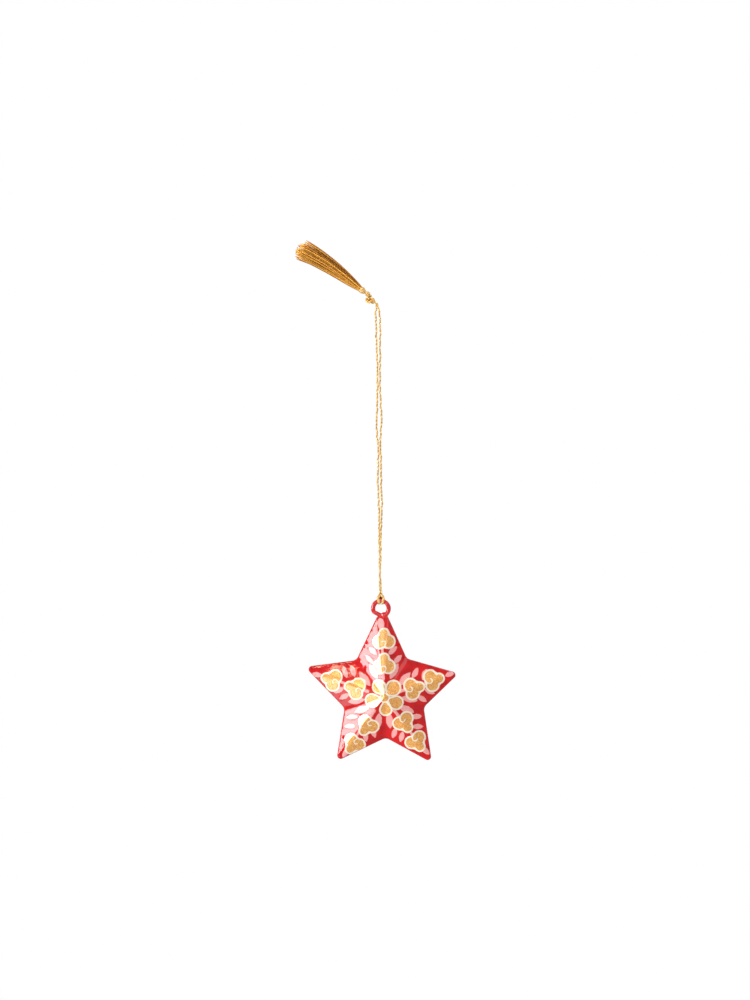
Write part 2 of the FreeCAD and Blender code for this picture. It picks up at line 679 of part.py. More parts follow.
def make_collar():
    """Wind the collar that holds the tassel together, a little fatter in its middle."""
    body = doc.addObject("PartDesign::Body", "tassel_binding")
    lean(body, TASSEL_ANGLE, "Sizes.neck_shift", "Sizes.neck_rise")
    sketch = add_sketch(body, "CollarSection", "XZ_Plane")
    bore = number(COLLAR_BORE)
    start = SIZE["neck_radius"] + SIZE["neck_gap"]
    end = start + SIZE["collar_length"]
    rim = bore + SIZE["collar_wall"]
    belly = rim + SIZE["collar_swell"]
    corners = (Vector(bore, end, 0), Vector(bore, start, 0), Vector(rim, start, 0))
    outer = Vector(rim, end, 0)
    sketch.addGeometry(Part.LineSegment(corners[0], corners[1]), False)
    sketch.addGeometry(Part.LineSegment(corners[1], corners[2]), False)
    bulge = Part.Arc(corners[2], Vector(belly, (start + end) / 2, 0), outer)
    sketch.addGeometry(bulge, False)
    sketch.addGeometry(Part.LineSegment(outer, corners[0]), False)
    low_end = 1 if sketch.getPoint(2, 1).y < (start + end) / 2 else 2
    high_end = 3 - low_end
    sketch.addConstraint(Sketcher.Constraint("Coincident", 0, 2, 1, 1))
    sketch.addConstraint(Sketcher.Constraint("Coincident", 1, 2, 2, low_end))
    sketch.addConstraint(Sketcher.Constraint("Coincident", 2, high_end, 3, 1))
    sketch.addConstraint(Sketcher.Constraint("Coincident", 3, 2, 0, 1))
    sketch.addConstraint(Sketcher.Constraint("Vertical", 0))
    sketch.addConstraint(Sketcher.Constraint("Horizontal", 1))
    sketch.addConstraint(Sketcher.Constraint("Horizontal", 3))
    sketch.addConstraint(Sketcher.Constraint("Vertical", 2, low_end, 2, high_end))
    fix_place(sketch, 0, 2, COLLAR_BORE, "Sizes.neck_radius + Sizes.neck_gap")
    fix_size(sketch, Sketcher.Constraint("Distance", 0, end - start), "Sizes.collar_length")
    fix_size(sketch, Sketcher.Constraint("Distance", 1, rim - bore), "Sizes.collar_wall")
    swell = SIZE["collar_swell"]
    radius = ((end - start) ** 2 / 4 + swell**2) / 2 / swell
    fix_size(
        sketch,
        Sketcher.Constraint("Radius", 2, radius),
        "(Sizes.collar_length^2 / 4 + Sizes.collar_swell^2) / 2 / Sizes.collar_swell",
    )
    doc.recompute()
    collar = body.newObject("PartDesign::Revolution", "Collar")
    collar.Profile = sketch
    collar.ReferenceAxis = (sketch, ["V_Axis"])
    collar.Angle = 360
    return body


def lock_centres():
    """Yield the locks' places across the fringe, in pitches: one, then rings of six and twelve."""
    reach = LOCK_RINGS
    for row in range(-reach, reach + 1):
        for column in range(-reach, reach + 1):
            if abs(row + column) <= reach:
                yield column + row / 2, row * math.sqrt(3) / 2


def spread_at(place):
    """Find how far the locks have spread at a share of the fringe's length."""
    for (low, low_spread), (high, high_spread) in zip(LOCK_SPREAD_SHARES, LOCK_SPREAD_SHARES[1:]):
        if place <= high:
            return low_spread + (high_spread - low_spread) * (place - low) / (high - low)
    return 1.0


def make_lock(name, across, forward, length_share):
    """Draw one lock of threads out through its places, thicker as the fringe spreads."""
    places = [place for place, _ in LOCK_SPREAD_SHARES[:-1]] + [length_share]
    whole = "(Sizes.fringe_inset + Sizes.fringe_length)"
    root = (
        "(Sizes.neck_radius + Sizes.neck_gap + Sizes.collar_length - Sizes.fringe_inset)"
    )
    sections = []
    for i, place in enumerate(places):
        pitch = (
            f"(Sizes.neck_pitch + {spread_at(place):.4f} * (Sizes.tip_pitch - Sizes.neck_pitch))"
        )
        section = doc.addObject("Part::Circle", f"{name}Section{i}")
        bind(
            section,
            Radius=f"({pitch} - Sizes.lock_gap) / 2",
            Placement__Base__x=f"{across:.4f} * {pitch}",
            Placement__Base__y=f"{forward:.4f} * {pitch}",
            Placement__Base__z=f"{root} + {place:.4f} * {whole}",
        )
        sections.append(section)
    lock = doc.addObject("Part::Loft", name)
    lock.Sections = sections
    lock.Solid = True
    lock.Ruled = True
    return lock


def make_fringe():
    """Spread the locks of the tassel from their head inside the collar."""
    head = doc.addObject("Part::Cylinder", "FringeHead")
    bind(
        head,
        Radius=f"{LOCK_RINGS} * Sizes.neck_pitch + (Sizes.neck_pitch - Sizes.lock_gap) / 2",
        Height="Sizes.fringe_head",
        Placement__Base__z=(
            "Sizes.neck_radius + Sizes.neck_gap + Sizes.collar_length - Sizes.fringe_inset"
            " - Sizes.fringe_head / 2"
        ),
    )
    locks = []
    for i, (across, forward) in enumerate(lock_centres()):
        rag = (i * 3 % LOCK_RAG_STEPS) / (LOCK_RAG_STEPS - 1)
        locks.append(make_lock(f"Lock{i + 1}", across, forward, 1 - rag * LOCK_RAG_SHARE))
    fringe = fuse("tassel_fringe", [head, *locks])
    lean(fringe, TASSEL_ANGLE, "Sizes.neck_shift", "Sizes.neck_rise")
    return fringe


def make_solder_lump():
    """Heap solder on the tip round the eye's neck."""
    lump = doc.addObject("Part::Ellipsoid", "SolderLump")
    bind(
        lump,
        Radius1="Sizes.solder_height / 2",
        Radius2="Sizes.solder_width / 2",
        Radius3="Sizes.solder_depth / 2",
        Placement__Base__x="Sizes.eye_shift + Sizes.solder_offset",
        Placement__Base__z=f"{EYE_Z} - Sizes.solder_drop",
    )
    return lump


pressing = make_pressing()
eye = make_wire("hanging_eye")
passage = make_wire("EyePassage", "Sizes.wire_gap")
front = cut("front_shell", pressing, passage)
rear = mirror_to_back("rear_shell", front)
lump = make_solder_lump()
seam = cut("rim_solder", make_seam(), fuse("SeamBreak", [passage, lump]))
block = make_star_block()
back_block = mirror_to_back("BackBlock", block)
eye_solder = cut("eye_solder", lump, fuse("SolderRoom", [block, back_block, eye]))
left_strand = make_strand("cord_left_strand", LEFT_STRAND_SHARES)
right_strand = make_strand("cord_right_strand", RIGHT_STRAND_SHARES)
hitch = make_hitch()
knot = make_knot()
collar = make_collar()
fringe = make_fringe()
doc.recompute()

PIECES = {
    "front_shell": front,
    "rear_shell": rear,
    "rim_solder": seam,
    "hanging_eye": eye,
    "eye_solder": eye_solder,
    "cord_left_strand": left_strand,
    "cord_right_strand": right_strand,
    "cord_hitch": hitch,
    "cord_knot": knot,
    "tassel_binding": collar,
    "tassel_fringe": fringe,
}

for strand in (left_strand, right_strand):
    route = doc.getObject(f"{strand.Name}Path").Shape
    radii = [edge.Curve.Radius for edge in route.Edges[1::2]]
    section = math.pi * SIZE["cord_diameter"] ** 2 / 4
    print(
        f"{strand.Name}: length {route.Length:.2f} mm, radii "
        + ", ".join(f"{radius:.0f}" for radius in radii)
        + f" mm, volume over section times length {strand.Shape.Volume / section / route.Length:.5f}"
    )

for thing in doc.Objects:
    if any(word in thing.State for word in ("Invalid", "Error")):
        raise RuntimeError(f"{thing.Name}: {thing.State}")

os.makedirs("parts", exist_ok=True)
for node, piece in PIECES.items():
    piece.Label = node
    shape = piece.Shape
    if shape.isNull() or not shape.isValid() or len(shape.Solids) != 1:
        raise RuntimeError(f"{node} is not one valid solid")
    shape.exportStep(f"parts/{node}.step")
    box = shape.BoundBox
    print(
        f"{node}: {shape.Volume:.2f} mm3,"
        f" x {box.XMin:.2f}..{box.XMax:.2f},"
        f" y {box.YMin:.2f}..{box.YMax:.2f},"
        f" z {box.ZMin:.2f}..{box.ZMax:.2f}"
    )
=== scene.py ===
"""Looks of a pressed tin star, lacquered red and painted with flowers, on a gold thread.

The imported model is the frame. The shells, the threads, the knot, the collar and the fringe are
built here as surfaces worked out with numpy and stand for their plain solids. Sizes are in
millimetres until a mesh is made. +Z is up and -Y is the front.
"""

import logging
import math
from collections.abc import Iterable, Sequence
from dataclasses import dataclass, field
from enum import Enum
from functools import cache, partialmethod

import bpy
import numpy as np
from mathutils import Matrix, Vector

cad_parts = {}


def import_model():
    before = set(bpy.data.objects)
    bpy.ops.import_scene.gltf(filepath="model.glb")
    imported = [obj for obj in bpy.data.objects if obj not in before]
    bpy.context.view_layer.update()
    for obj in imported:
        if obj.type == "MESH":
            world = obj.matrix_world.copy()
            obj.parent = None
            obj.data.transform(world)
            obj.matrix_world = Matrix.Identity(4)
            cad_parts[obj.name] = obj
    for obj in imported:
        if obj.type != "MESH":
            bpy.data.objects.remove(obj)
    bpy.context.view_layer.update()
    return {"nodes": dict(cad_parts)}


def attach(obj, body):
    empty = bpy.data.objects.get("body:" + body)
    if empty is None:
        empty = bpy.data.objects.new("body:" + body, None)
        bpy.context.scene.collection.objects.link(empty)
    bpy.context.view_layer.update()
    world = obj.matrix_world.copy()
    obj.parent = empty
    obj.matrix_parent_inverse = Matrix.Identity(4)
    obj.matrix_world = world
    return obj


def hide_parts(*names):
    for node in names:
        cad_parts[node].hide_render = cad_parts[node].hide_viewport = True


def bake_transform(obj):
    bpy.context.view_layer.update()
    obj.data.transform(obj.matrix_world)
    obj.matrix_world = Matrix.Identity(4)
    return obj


Array = np.ndarray
Piece = bpy.types.Object
Socket = bpy.types.NodeSocket
Sockets = dict[str | int, object]
Pair = tuple[float, float]
Place = tuple[float, float, float]
Colour = tuple[float, float, float, float]

LOG = logging.getLogger("tin_star")
MM = 0.001
TINY = 1e-12
TURN = 2 * math.pi
GOLDEN_ANGLE = 2.39996
WHITE = (1.0, 1.0, 1.0, 1.0)
THREAD_SIDES = 8

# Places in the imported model, from the point where the ornament hangs: the wire eye to the side,
# the wire's height in the hitch, the star's centre, and the root that the tassel turns about.
EYE_SHIFT = -0.35
PIVOT_Z = -141.77
STAR_SHIFT = 0.42
STAR_Z = -186.802
TASSEL_ROOT = (-4.34, 0.0, 6.09)


class Side(Enum):
    """The two half shells, by the sign of the way each one faces along Y."""

    FRONT = -1
    REAR = 1


class Layer(Enum):
    """The painted colours, by the name of the attribute that says how far inside one a point is."""

    LEAF = "leaf_cover"
    GOLD = "gold_cover"
    CREAM = "cream_cover"


def unit(vectors: Array) -> Array:
    """Scale vectors along the last axis to length one."""
    return vectors / np.maximum(np.linalg.norm(vectors, axis=-1, keepdims=True), TINY)


def smooth_step(values: Array, low: float, high: float) -> Array:
    """Rise from 0 at low to 1 at high by 3t^2 - 2t^3."""
    share = np.clip((values - low) / (high - low), 0.0, 1.0)
    return share * share * (3.0 - 2.0 * share)


def soft_min(first: Array, second: Array, width: float) -> Array:
    """Take the smaller of two distances with a round join of the given width."""
    blend = np.clip(0.5 + 0.5 * (second - first) / width, 0.0, 1.0)
    return second * (1 - blend) + first * blend - width * blend * (1 - blend)


def turned(points: Array, angle: float) -> tuple[Array, Array]:
    """Give how far points lie along a direction at an angle in degrees, and left of it."""
    turn = math.radians(angle)
    along = points @ np.array((math.cos(turn), math.sin(turn)))
    left = points @ np.array((-math.sin(turn), math.cos(turn)))
    return along, left


def leaning_axes(angle: float) -> Array:
    """Give three directions: leaning up from +X by an angle in degrees, across that, and +Y."""
    turn = math.radians(angle)
    out = (math.cos(turn), 0.0, math.sin(turn))
    across = (-math.sin(turn), 0.0, math.cos(turn))
    return np.array((out, across, (0.0, 1.0, 0.0)))


def mirrored(vector: Array, normal: Array) -> Array:
    """Mirror a vector in the plane square to a normal."""
    return vector - normal * (2 * (normal @ vector) / max(normal @ normal, TINY))


def steady_frames(path: Array, start: Array) -> tuple[Array, Array]:
    """Carry two directions square to a path along it without twist, by double reflection.

    Args:
        path: places along the path, shape (n, 3).
        start: a direction that the first of the two begins near.

    Returns:
        The two directions at each place, each of shape (n, 3).
    """
    tangents = unit(np.gradient(path, axis=0))
    first = np.zeros_like(path)
    first[0] = unit(start - tangents[0] * (start @ tangents[0]))
    for i, step in enumerate(np.diff(path, axis=0)):
        bend = tangents[i + 1] - mirrored(tangents[i], step)
        first[i + 1] = mirrored(mirrored(first[i], step), bend)
    return first, np.cross(tangents, first)


def lengths_along(path: Array) -> Array:
    """Measure the way along a path to each of its places."""
    return np.concatenate(([0.0], np.cumsum(np.linalg.norm(np.diff(path, axis=0), axis=1))))


def evenly(path: Array, step: float) -> Array:
    """Lay places at an even step along a path, by interpolation on its length."""
    lengths = lengths_along(path)
    wanted = np.linspace(0, lengths[-1], max(int(lengths[-1] / step), 3))
    return np.stack([np.interp(wanted, lengths, path[:, i]) for i in range(3)], axis=-1)


def closed_faces(rows: int, columns: int) -> list[Array]:
    """List the faces of a tube of rings with a tip at each end.

    Args:
        rows: how many rings there are, which are numbered before the tips.
        columns: points on a ring.

    Returns:
        The quads and the triangles at either end, one row of vertex numbers to a face.
    """
    row, column = np.meshgrid(np.arange(rows - 1), np.arange(columns), indexing="ij")
    near = row * columns + column
    beside = row * columns + (column + 1) % columns
    quads = np.stack((near, beside, beside + columns, near + columns), axis=-1).reshape(-1, 4)
    ring = np.arange(columns)
    after = np.roll(ring, -1)
    last = columns * (rows - 1)
    first_tip = np.full_like(ring, rows * columns)
    first_cap = np.stack((after, ring, first_tip), axis=-1)
    last_cap = np.stack((ring + last, after + last, first_tip + 1), axis=-1)
    return [quads, first_cap, last_cap]


def put_in_scene(name: str, data: bpy.types.ID) -> Piece:
    """Make an object of a mesh, a curve, a camera or a lamp."""
    made = bpy.data.objects.new(name, data)
    bpy.context.scene.collection.objects.link(made)
    return made


def make_mesh(name: str, points: Array, faces: Iterable[Array], values: dict[str, Array]) -> Piece:
    """Put points and faces into a smooth mesh object at the origin.

    Args:
        name: the piece's name.
        points: places in millimetres, shape (n, 3).
        faces: arrays of vertex numbers, one row to a face.
        values: numbers kept on the points, by attribute name.

    Returns:
        The new object.
    """
    mesh = bpy.data.meshes.new(name)
    listed = [face for group in faces for face in group.tolist()]
    mesh.from_pydata((points * MM).tolist(), [], listed)
    mesh.polygons.foreach_set("use_smooth", np.ones(len(mesh.polygons), bool))
    for label, numbers in values.items():
        attribute = mesh.attributes.new(label, "FLOAT", "POINT")
        attribute.data.foreach_set("value", np.ascontiguousarray(numbers, np.float32))
    mesh.update()
    return put_in_scene(name, mesh)


@dataclass
class Shape:
    """Points, faces and tones of a piece while it is put together."""

    points: list[Array] = field(default_factory=list)
    faces: list[Array] = field(default_factory=list)
    tones: list[Array] = field(default_factory=list)
    count: int = 0

    def add(self, points: Array, faces: Iterable[Array], tone: float) -> None:
        """Add a patch, tinted by one number."""
        self.points.append(points)
        self.faces.extend(group + self.count for group in faces)
        self.tones.append(np.full(len(points), tone))
        self.count += len(points)

    def tube(
        self,
        path: Array,
        radius: float | Array,
        sides: int,
        start: Array,
        tone: float,
    ) -> None:
        """Add a closed round tube: path + radius * (first * cos t + second * sin t).

        Args:
            path: its middle line, shape (n, 3).
            radius: its radius, or one for each place.
            sides: points round it.
            start: a direction square to its first step, or near it.
            tone: a number that tints the whole tube.
        """
        first, second = steady_frames(path, start)
        turn = np.linspace(0, TURN, sides, endpoint=False)[None, :, None]
        ring = first[:, None] * np.cos(turn) + second[:, None] * np.sin(turn)
        radii = np.broadcast_to(radius, (len(path),))
        points = (path[:, None] + ring * radii[:, None, None]).reshape(-1, 3)
        points = np.concatenate((points, path[:1], path[-1:]))
        self.add(points, closed_faces(len(path), sides), tone)

    def finish(self, name: str) -> Piece:
        """Make the mesh object, with the tones kept on its points."""
        tones = {"tone": np.concatenate(self.tones)}
        return make_mesh(name, np.concatenate(self.points), self.faces, tones)


@dataclass(frozen=True)
class Twist:
    """Plies twisted into a thread, which may lie flat."""

    ply_radius: float
    across: float
    through: float
    pitch: float
    step: float
    sides: int = THREAD_SIDES
    plies: int = 2
    tone_step: float = 0.5

    def add(self, shape: Shape, path: Array, start: Array, phase: float, tone: float) -> None:
        """Add the plies along a path.

        A ply's middle is path + across * cos(turn) * first + through * sin(turn) * second,
        with turn = 2 pi * length / pitch + phase, and the plies an even share of a turn apart.

        Args:
            shape: what the thread is added to.
            path: the thread's middle line.
            start: the direction that the flat side begins along.
            phase: where the twist begins, in radians.
            tone: a number that tints the thread.
        """
        line = evenly(path, self.step)
        first, second = steady_frames(line, start)
        turn = TURN * np.arange(len(line)) * self.step / self.pitch + phase
        for ply in range(self.plies):
            swing = (turn + TURN * ply / self.plies)[:, None]
            offset = first * (self.across * np.cos(swing))
            middle = line + offset + second * (self.through * np.sin(swing))
            ply_tone = tone + self.tone_step * (ply % 2)
            shape.tube(middle, self.ply_radius, self.sides, start, ply_tone)


class Number:
    """A number that changes over a surface: a shader socket with Python's operators."""

    def __init__(self, nodes: "Nodes", socket: Socket) -> None:
        """Wrap an output socket."""
        self.nodes = nodes
        self.socket = socket

    def join(self, operation: str, other: "Number | float", swapped: bool = False) -> "Number":
        """Add a Math node on this number and another, which comes first if they are swapped."""
        first, second = (other, self) if swapped else (self, other)
        node = self.nodes.add("Math", {0: first, 1: second}, operation=operation)
        return Number(self.nodes, node.outputs[0])

    __add__ = __radd__ = partialmethod(join, "ADD")
    __mul__ = __rmul__ = partialmethod(join, "MULTIPLY")
    __sub__ = partialmethod(join, "SUBTRACT")
    __rsub__ = partialmethod(join, "SUBTRACT", swapped=True)
    larger = partialmethod(join, "MAXIMUM")


@dataclass(frozen=True)
class Texture:
    """Noise with features of a size in millimetres, and the limits between which it comes up.

    Detail is its count of finer layers and rough is their strength.
    """

    size: float
    low: float = 0.0
    high: float = 1.0
    detail: float = 2.0
    rough: float = 0.5


class Nodes:
    """A tree of shader nodes, all added by one method."""

    def __init__(self, tree: bpy.types.NodeTree) -> None:
        """Take a tree and empty it."""
        self.tree = tree
        tree.nodes.clear()

    def add(self, kind: str, sockets: Sockets, **settings: object) -> bpy.types.Node:
        """Add a node.

        Args:
            kind: its type, less the words that all shader nodes' types begin with.
            sockets: a value, a number or another node's socket for each input that is filled.
            settings: its own settings.

        Returns:
            The node.
        """
        node = self.tree.nodes.new(f"ShaderNode{kind}")
        for label, value in settings.items():
            setattr(node, label, value)
        for label, value in sockets.items():
            given = value.socket if isinstance(value, Number) else value
            if isinstance(given, Socket):
                self.tree.links.new(given, node.inputs[label])
            else:
                node.inputs[label].default_value = given
        return node

    def kept(self, attribute: str) -> Number:
        """Read a number kept on the mesh's points."""
        node = self.add("Attribute", {}, attribute_type="GEOMETRY", attribute_name=attribute)
        return Number(self, node.outputs["Fac"])

    def placed(self, size: float) -> Sockets:
        """Give the sockets that lay a texture on Object coordinates in features of a size."""
        return {"Vector": self.add("TexCoord", {}).outputs["Object"], "Scale": 1.0 / (size * MM)}

    def noise(self, texture: Texture) -> Number:
        """Add noise."""
        layers = {"Detail": texture.detail, "Roughness": texture.rough}
        sockets = self.placed(texture.size) | layers
        node = self.add("TexNoise", sockets, noise_dimensions="3D")
        return Number(self, node.outputs["Fac"])

    def patches(self, texture: Texture) -> Number:
        """Add noise that is 0 below its lower limit and 1 above its higher one."""
        return self.step(self.noise(texture), (texture.low, texture.high))

    def grains(self, size: float) -> tuple[Number, Number]:
        """Add grains: a chance of its own for each one, and the distance to its middle."""
        node = self.add("TexVoronoi", self.placed(size), feature="F1")
        return Number(self, node.outputs["Color"]), Number(self, node.outputs["Distance"])

    def step(self, value: Number, limits: Pair) -> Number:
        """Rise smoothly from 0 at the first limit to 1 at the second."""
        low, high = limits
        sockets = {"Value": value, "From Min": low, "From Max": high, "To Min": 0.0, "To Max": 1.0}
        node = self.add("MapRange", sockets, interpolation_type="SMOOTHSTEP", clamp=True)
        return Number(self, node.outputs["Result"])

    def mix(self, factor: Number, first: object, second: object) -> Socket:
        """Mix two colours, each a socket or a colour, through the node's colour sockets."""
        node = self.add("Mix", {0: factor, 6: first, 7: second}, data_type="RGBA")
        return node.outputs[2]

    def bump(self, height: Number, depth: float) -> Socket:
        """Turn a height of 0 to 1 into a normal, for a relief of a depth in millimetres."""
        sockets = {"Height": height, "Distance": depth * MM, "Strength": 1.0}
        return self.add("Bump", sockets).outputs["Normal"]

    def shown(self) -> Number:
        """Tell rays from the camera, from gloss and through glass, which all see the white."""
        rays = self.add("LightPath", {}).outputs
        kinds = ("Camera", "Glossy", "Transmission")
        seen = [Number(self, rays[f"Is {kind} Ray"]) for kind in kinds]
        return seen[0].larger(seen[1]).larger(seen[2])

    def principled(self, sockets: Sockets) -> Socket:
        """Add a Principled shader with these sockets."""
        return self.add("BsdfPrincipled", sockets).outputs["BSDF"]


@dataclass(frozen=True)
class Finish:
    """A finish: a material whose surface is built by its shade method."""

    name: str

    def shade(self, nodes: Nodes) -> Socket:
        """Add this finish's own nodes and give the last one's output."""
        raise NotImplementedError

    @cache
    def make(self) -> bpy.types.Material:
        """Make the material, once for all the pieces that share it."""
        material = bpy.data.materials.new(self.name)
        material.use_nodes = True
        nodes = Nodes(material.node_tree)
        nodes.add("OutputMaterial", {"Surface": self.shade(nodes)})
        return material


@dataclass(frozen=True)
class RedLacquer(Finish):
    """Thick glossy red lacquer with a faint peel."""

    shine: float = 0.45
    rough: float = 0.07
    red: Colour = (0.67, 0.005, 0.007, 1.0)
    deep_red: Colour = (0.49, 0.003, 0.006, 1.0)
    tint: Texture = Texture(5.0, 0.35, 0.7)
    peel: Texture = Texture(1.3)
    waves: Texture = Texture(4.5, detail=1.0)
    peel_share: float = 0.3
    waves_share: float = 0.7
    depth: float = 0.06

    def ground(self, nodes: Nodes) -> tuple[Socket, Number]:
        """Mix the two reds in soft patches, and give the height of the peel on slow waves."""
        colour = nodes.mix(nodes.patches(self.tint), self.red, self.deep_red)
        peel = nodes.noise(self.peel) * self.peel_share
        return colour, peel + nodes.noise(self.waves) * self.waves_share

    def lacquered(self, nodes: Nodes, height: Number, sockets: Sockets) -> Socket:
        """Add the shader that every lacquer shares, with its relief and the sockets of its own."""
        shared = {"Specular IOR Level": self.shine, "IOR": 1.5, "Coat Roughness": 0.06}
        return nodes.principled(shared | sockets | {"Normal": nodes.bump(height, self.depth)})

    def shade(self, nodes: Nodes) -> Socket:
        """Lay the bare lacquer."""
        colour, height = self.ground(nodes)
        return self.lacquered(nodes, height, {"Base Color": colour, "Roughness": self.rough})


@dataclass(frozen=True)
class PaintedLacquer(RedLacquer):
    """The red lacquer under hand painting and glaze, with matt drops on what stays red.

    An edge is a pair of limits between which its texture or its paint comes up.
    """

    shine: float = 0.24
    depth: float = 0.16
    leaf: Colour = (0.93, 0.37, 0.36, 1.0)
    pale_leaf: Colour = (0.96, 0.5, 0.47, 1.0)
    gold: Colour = (0.71, 0.285, 0.055, 1.0)
    bright_gold: Colour = (0.93, 0.6, 0.19, 1.0)
    worn_gold: Colour = (0.42, 0.15, 0.025, 1.0)
    cream: Colour = (0.95, 0.82, 0.64, 1.0)
    paint_edge: Pair = (-0.05, 0.08)
    wobble: Texture = Texture(0.9)
    wobble_width: float = 0.34
    rag: Texture = Texture(0.5, detail=3.0)
    rag_width: float = 0.5
    brush: Texture = Texture(0.55, 0.3, 0.72, 4.0, 0.7)
    leaf_share: float = 0.93
    grain_size: float = 0.32
    grain_edge: Pair = (0.45, 0.85)
    wear: Texture = Texture(1.7, 0.56, 0.78, 3.0, 0.6)
    wear_share: float = 0.75
    gold_metal: float = 0.14
    gold_rough: float = 0.16
    glaze: float = 0.4
    drop_size: float = 2.6
    drop_edge: Pair = (0.0, 0.5)
    drop_chance: Pair = (0.5, 0.52)
    drop_patches: Texture = Texture(6.0, 0.42, 0.55, 1.0)
    matt_rag: float = 0.3
    matt_edge: Pair = (0.12, 0.24)
    matt: float = 0.93
    peel_height: float = 0.4
    leaf_height: float = 0.1
    gold_height: float = 0.16
    cream_height: float = 0.4
    drop_height: float = 0.9
    grain_height: float = 0.14

    def drops(self, nodes: Nodes) -> Number:
        """Raise drops in the middle of some grains, in some patches only."""
        chance, distance = nodes.grains(self.drop_size)
        chosen = nodes.step(chance, self.drop_chance)
        drops = 1 - nodes.step(distance, self.drop_edge)
        return drops * chosen * nodes.patches(self.drop_patches)

    def gilding(self, nodes: Nodes, grains: Number) -> Socket:
        """Mix the gold from its dull, glittering and worn places."""
        fresh = nodes.mix(nodes.step(grains, self.grain_edge), self.gold, self.bright_gold)
        return nodes.mix(nodes.patches(self.wear) * self.wear_share, fresh, self.worn_gold)

    def shade(self, nodes: Nodes) -> Socket:
        """Lay red, then leaves, then gold with its glitter, then cream lines, and peel over all."""
        colour, peel = self.ground(nodes)
        wobble = (nodes.noise(self.wobble) - 0.5) * self.wobble_width
        rag = (nodes.noise(self.rag) - 0.5) * self.rag_width
        inside = {layer: nodes.kept(layer.value) + wobble for layer in Layer}
        leaf = nodes.step(inside[Layer.LEAF] + rag, self.paint_edge)
        gold = nodes.step(inside[Layer.GOLD], self.paint_edge)
        cream = nodes.step(inside[Layer.CREAM], self.paint_edge)
        brushed = nodes.mix(nodes.patches(self.brush), self.leaf, self.pale_leaf)
        grains, _ = nodes.grains(self.grain_size)
        colour = nodes.mix(leaf * self.leaf_share, colour, brushed)
        colour = nodes.mix(gold, colour, self.gilding(nodes, grains))
        colour = nodes.mix(cream, colour, self.cream)
        bare_gold = gold * (1 - cream)
        ornament = gold.larger(cream)
        drops = self.drops(nodes) * (1 - ornament)
        matt = nodes.step(drops + rag * self.matt_rag, self.matt_edge)
        height = peel * self.peel_height + leaf * self.leaf_height
        height = height + gold * self.gold_height + cream * self.cream_height
        height = height + drops * self.drop_height + bare_gold * grains * self.grain_height
        sockets = {
            "Base Color": colour,
            "Roughness": bare_gold * self.gold_rough + self.rough + matt * self.matt,
            "Metallic": bare_gold * self.gold_metal,
            "Coat Weight": ornament * self.glaze,
        }
        return self.lacquered(nodes, height, sockets)


@dataclass(frozen=True)
class TwistedThread(Finish):
    """Spun metallic thread: fine fibres along it, tinted from ply to ply."""

    dark: Colour
    light: Colour
    fibres: Texture = Texture(0.12, detail=3.0, rough=0.6)
    metallic: float = 0.3
    places: Texture = Texture(2.2, detail=1.0)
    shares: Place = (0.5, 0.5, 0.35)
    tint_edge: Pair = (0.25, 0.95)
    rough: float = 0.42
    shine: float = 0.25
    depth: float = 0.035

    def shade(self, nodes: Nodes) -> Socket:
        """Mix the two tints by fibres, by the thread's own tone and by places along it."""
        fibres = nodes.noise(self.fibres)
        of_fibres, of_tone, of_places = self.shares
        tint = fibres * of_fibres + nodes.kept("tone") * of_tone
        tint = tint + nodes.noise(self.places) * of_places
        return nodes.principled(
            {
                "Base Color": nodes.mix(nodes.step(tint, self.tint_edge), self.dark, self.light),
                "Roughness": self.rough,
                "Metallic": self.metallic,
                "Specular IOR Level": self.shine,
                "Normal": nodes.bump(fibres, self.depth),
            }
        )


@dataclass(frozen=True)
class PaleFloor(Finish):
    """A matt floor that the camera sees as almost white, apart from the shadow on it."""

    white_share: float = 0.88
    pale: Colour = (0.93, 0.93, 0.93, 1.0)
    rough: float = 0.9

    def shade(self, nodes: Nodes) -> Socket:
        """Mix the matt floor with plain white for the rays that see the white surround."""
        floor = nodes.principled({"Base Color": self.pale, "Roughness": self.rough})
        white = nodes.add("Emission", {"Color": WHITE}).outputs[0]
        share = nodes.shown() * self.white_share
        return nodes.add("MixShader", {0: share, 1: floor, 2: white}).outputs[0]


PAINTED = PaintedLacquer("painted_lacquer")
PLAIN = RedLacquer("plain_lacquer")
FLOOR = PaleFloor("pale_floor")
GOLD = TwistedThread("gold_thread", (0.3, 0.13, 0.015, 1.0), (0.79, 0.54, 0.17, 1.0))
PALE = TwistedThread("pale_thread", (0.42, 0.2, 0.03, 1.0), (0.8, 0.58, 0.26, 1.0))
# Near-black maroon thread: painted shade, put in the hitch's hole where there is only shadow.
PAINTED_SHADE_THREAD = TwistedThread("painted_shade_thread", (0.05, 0.004, 0.003, 1.0), (0.2, 0.06, 0.01, 1.0))
OCHRE = TwistedThread(
    name="ochre_thread",
    dark=(0.33, 0.11, 0.012, 1.0),
    light=(0.84, 0.44, 0.06, 1.0),
    fibres=Texture(0.3, detail=3.0, rough=0.6),
    metallic=0.2,
)
KNOTTED = TwistedThread("knotted_thread", (0.26, 0.1, 0.012, 1.0), (0.82, 0.54, 0.18, 1.0))
# Dark ochre thread: painted shade for the knot's core, where shade falls between its turns.
PAINTED_SHADE_OCHRE = TwistedThread("shade_ochre_thread", (0.13, 0.045, 0.006, 1.0), (0.45, 0.2, 0.025, 1.0))


def dress(piece: Piece, finish: Finish, body: str, node: str = "") -> Piece:
    """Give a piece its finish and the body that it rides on.

    Args:
        piece: the piece.
        finish: its finish.
        body: the moving body that carries it.
        node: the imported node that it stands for, if it stands for one.

    Returns:
        The same piece.
    """
    piece.data.materials.append(finish.make())
    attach(piece, body)
    if node:
        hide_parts(node)
    return piece


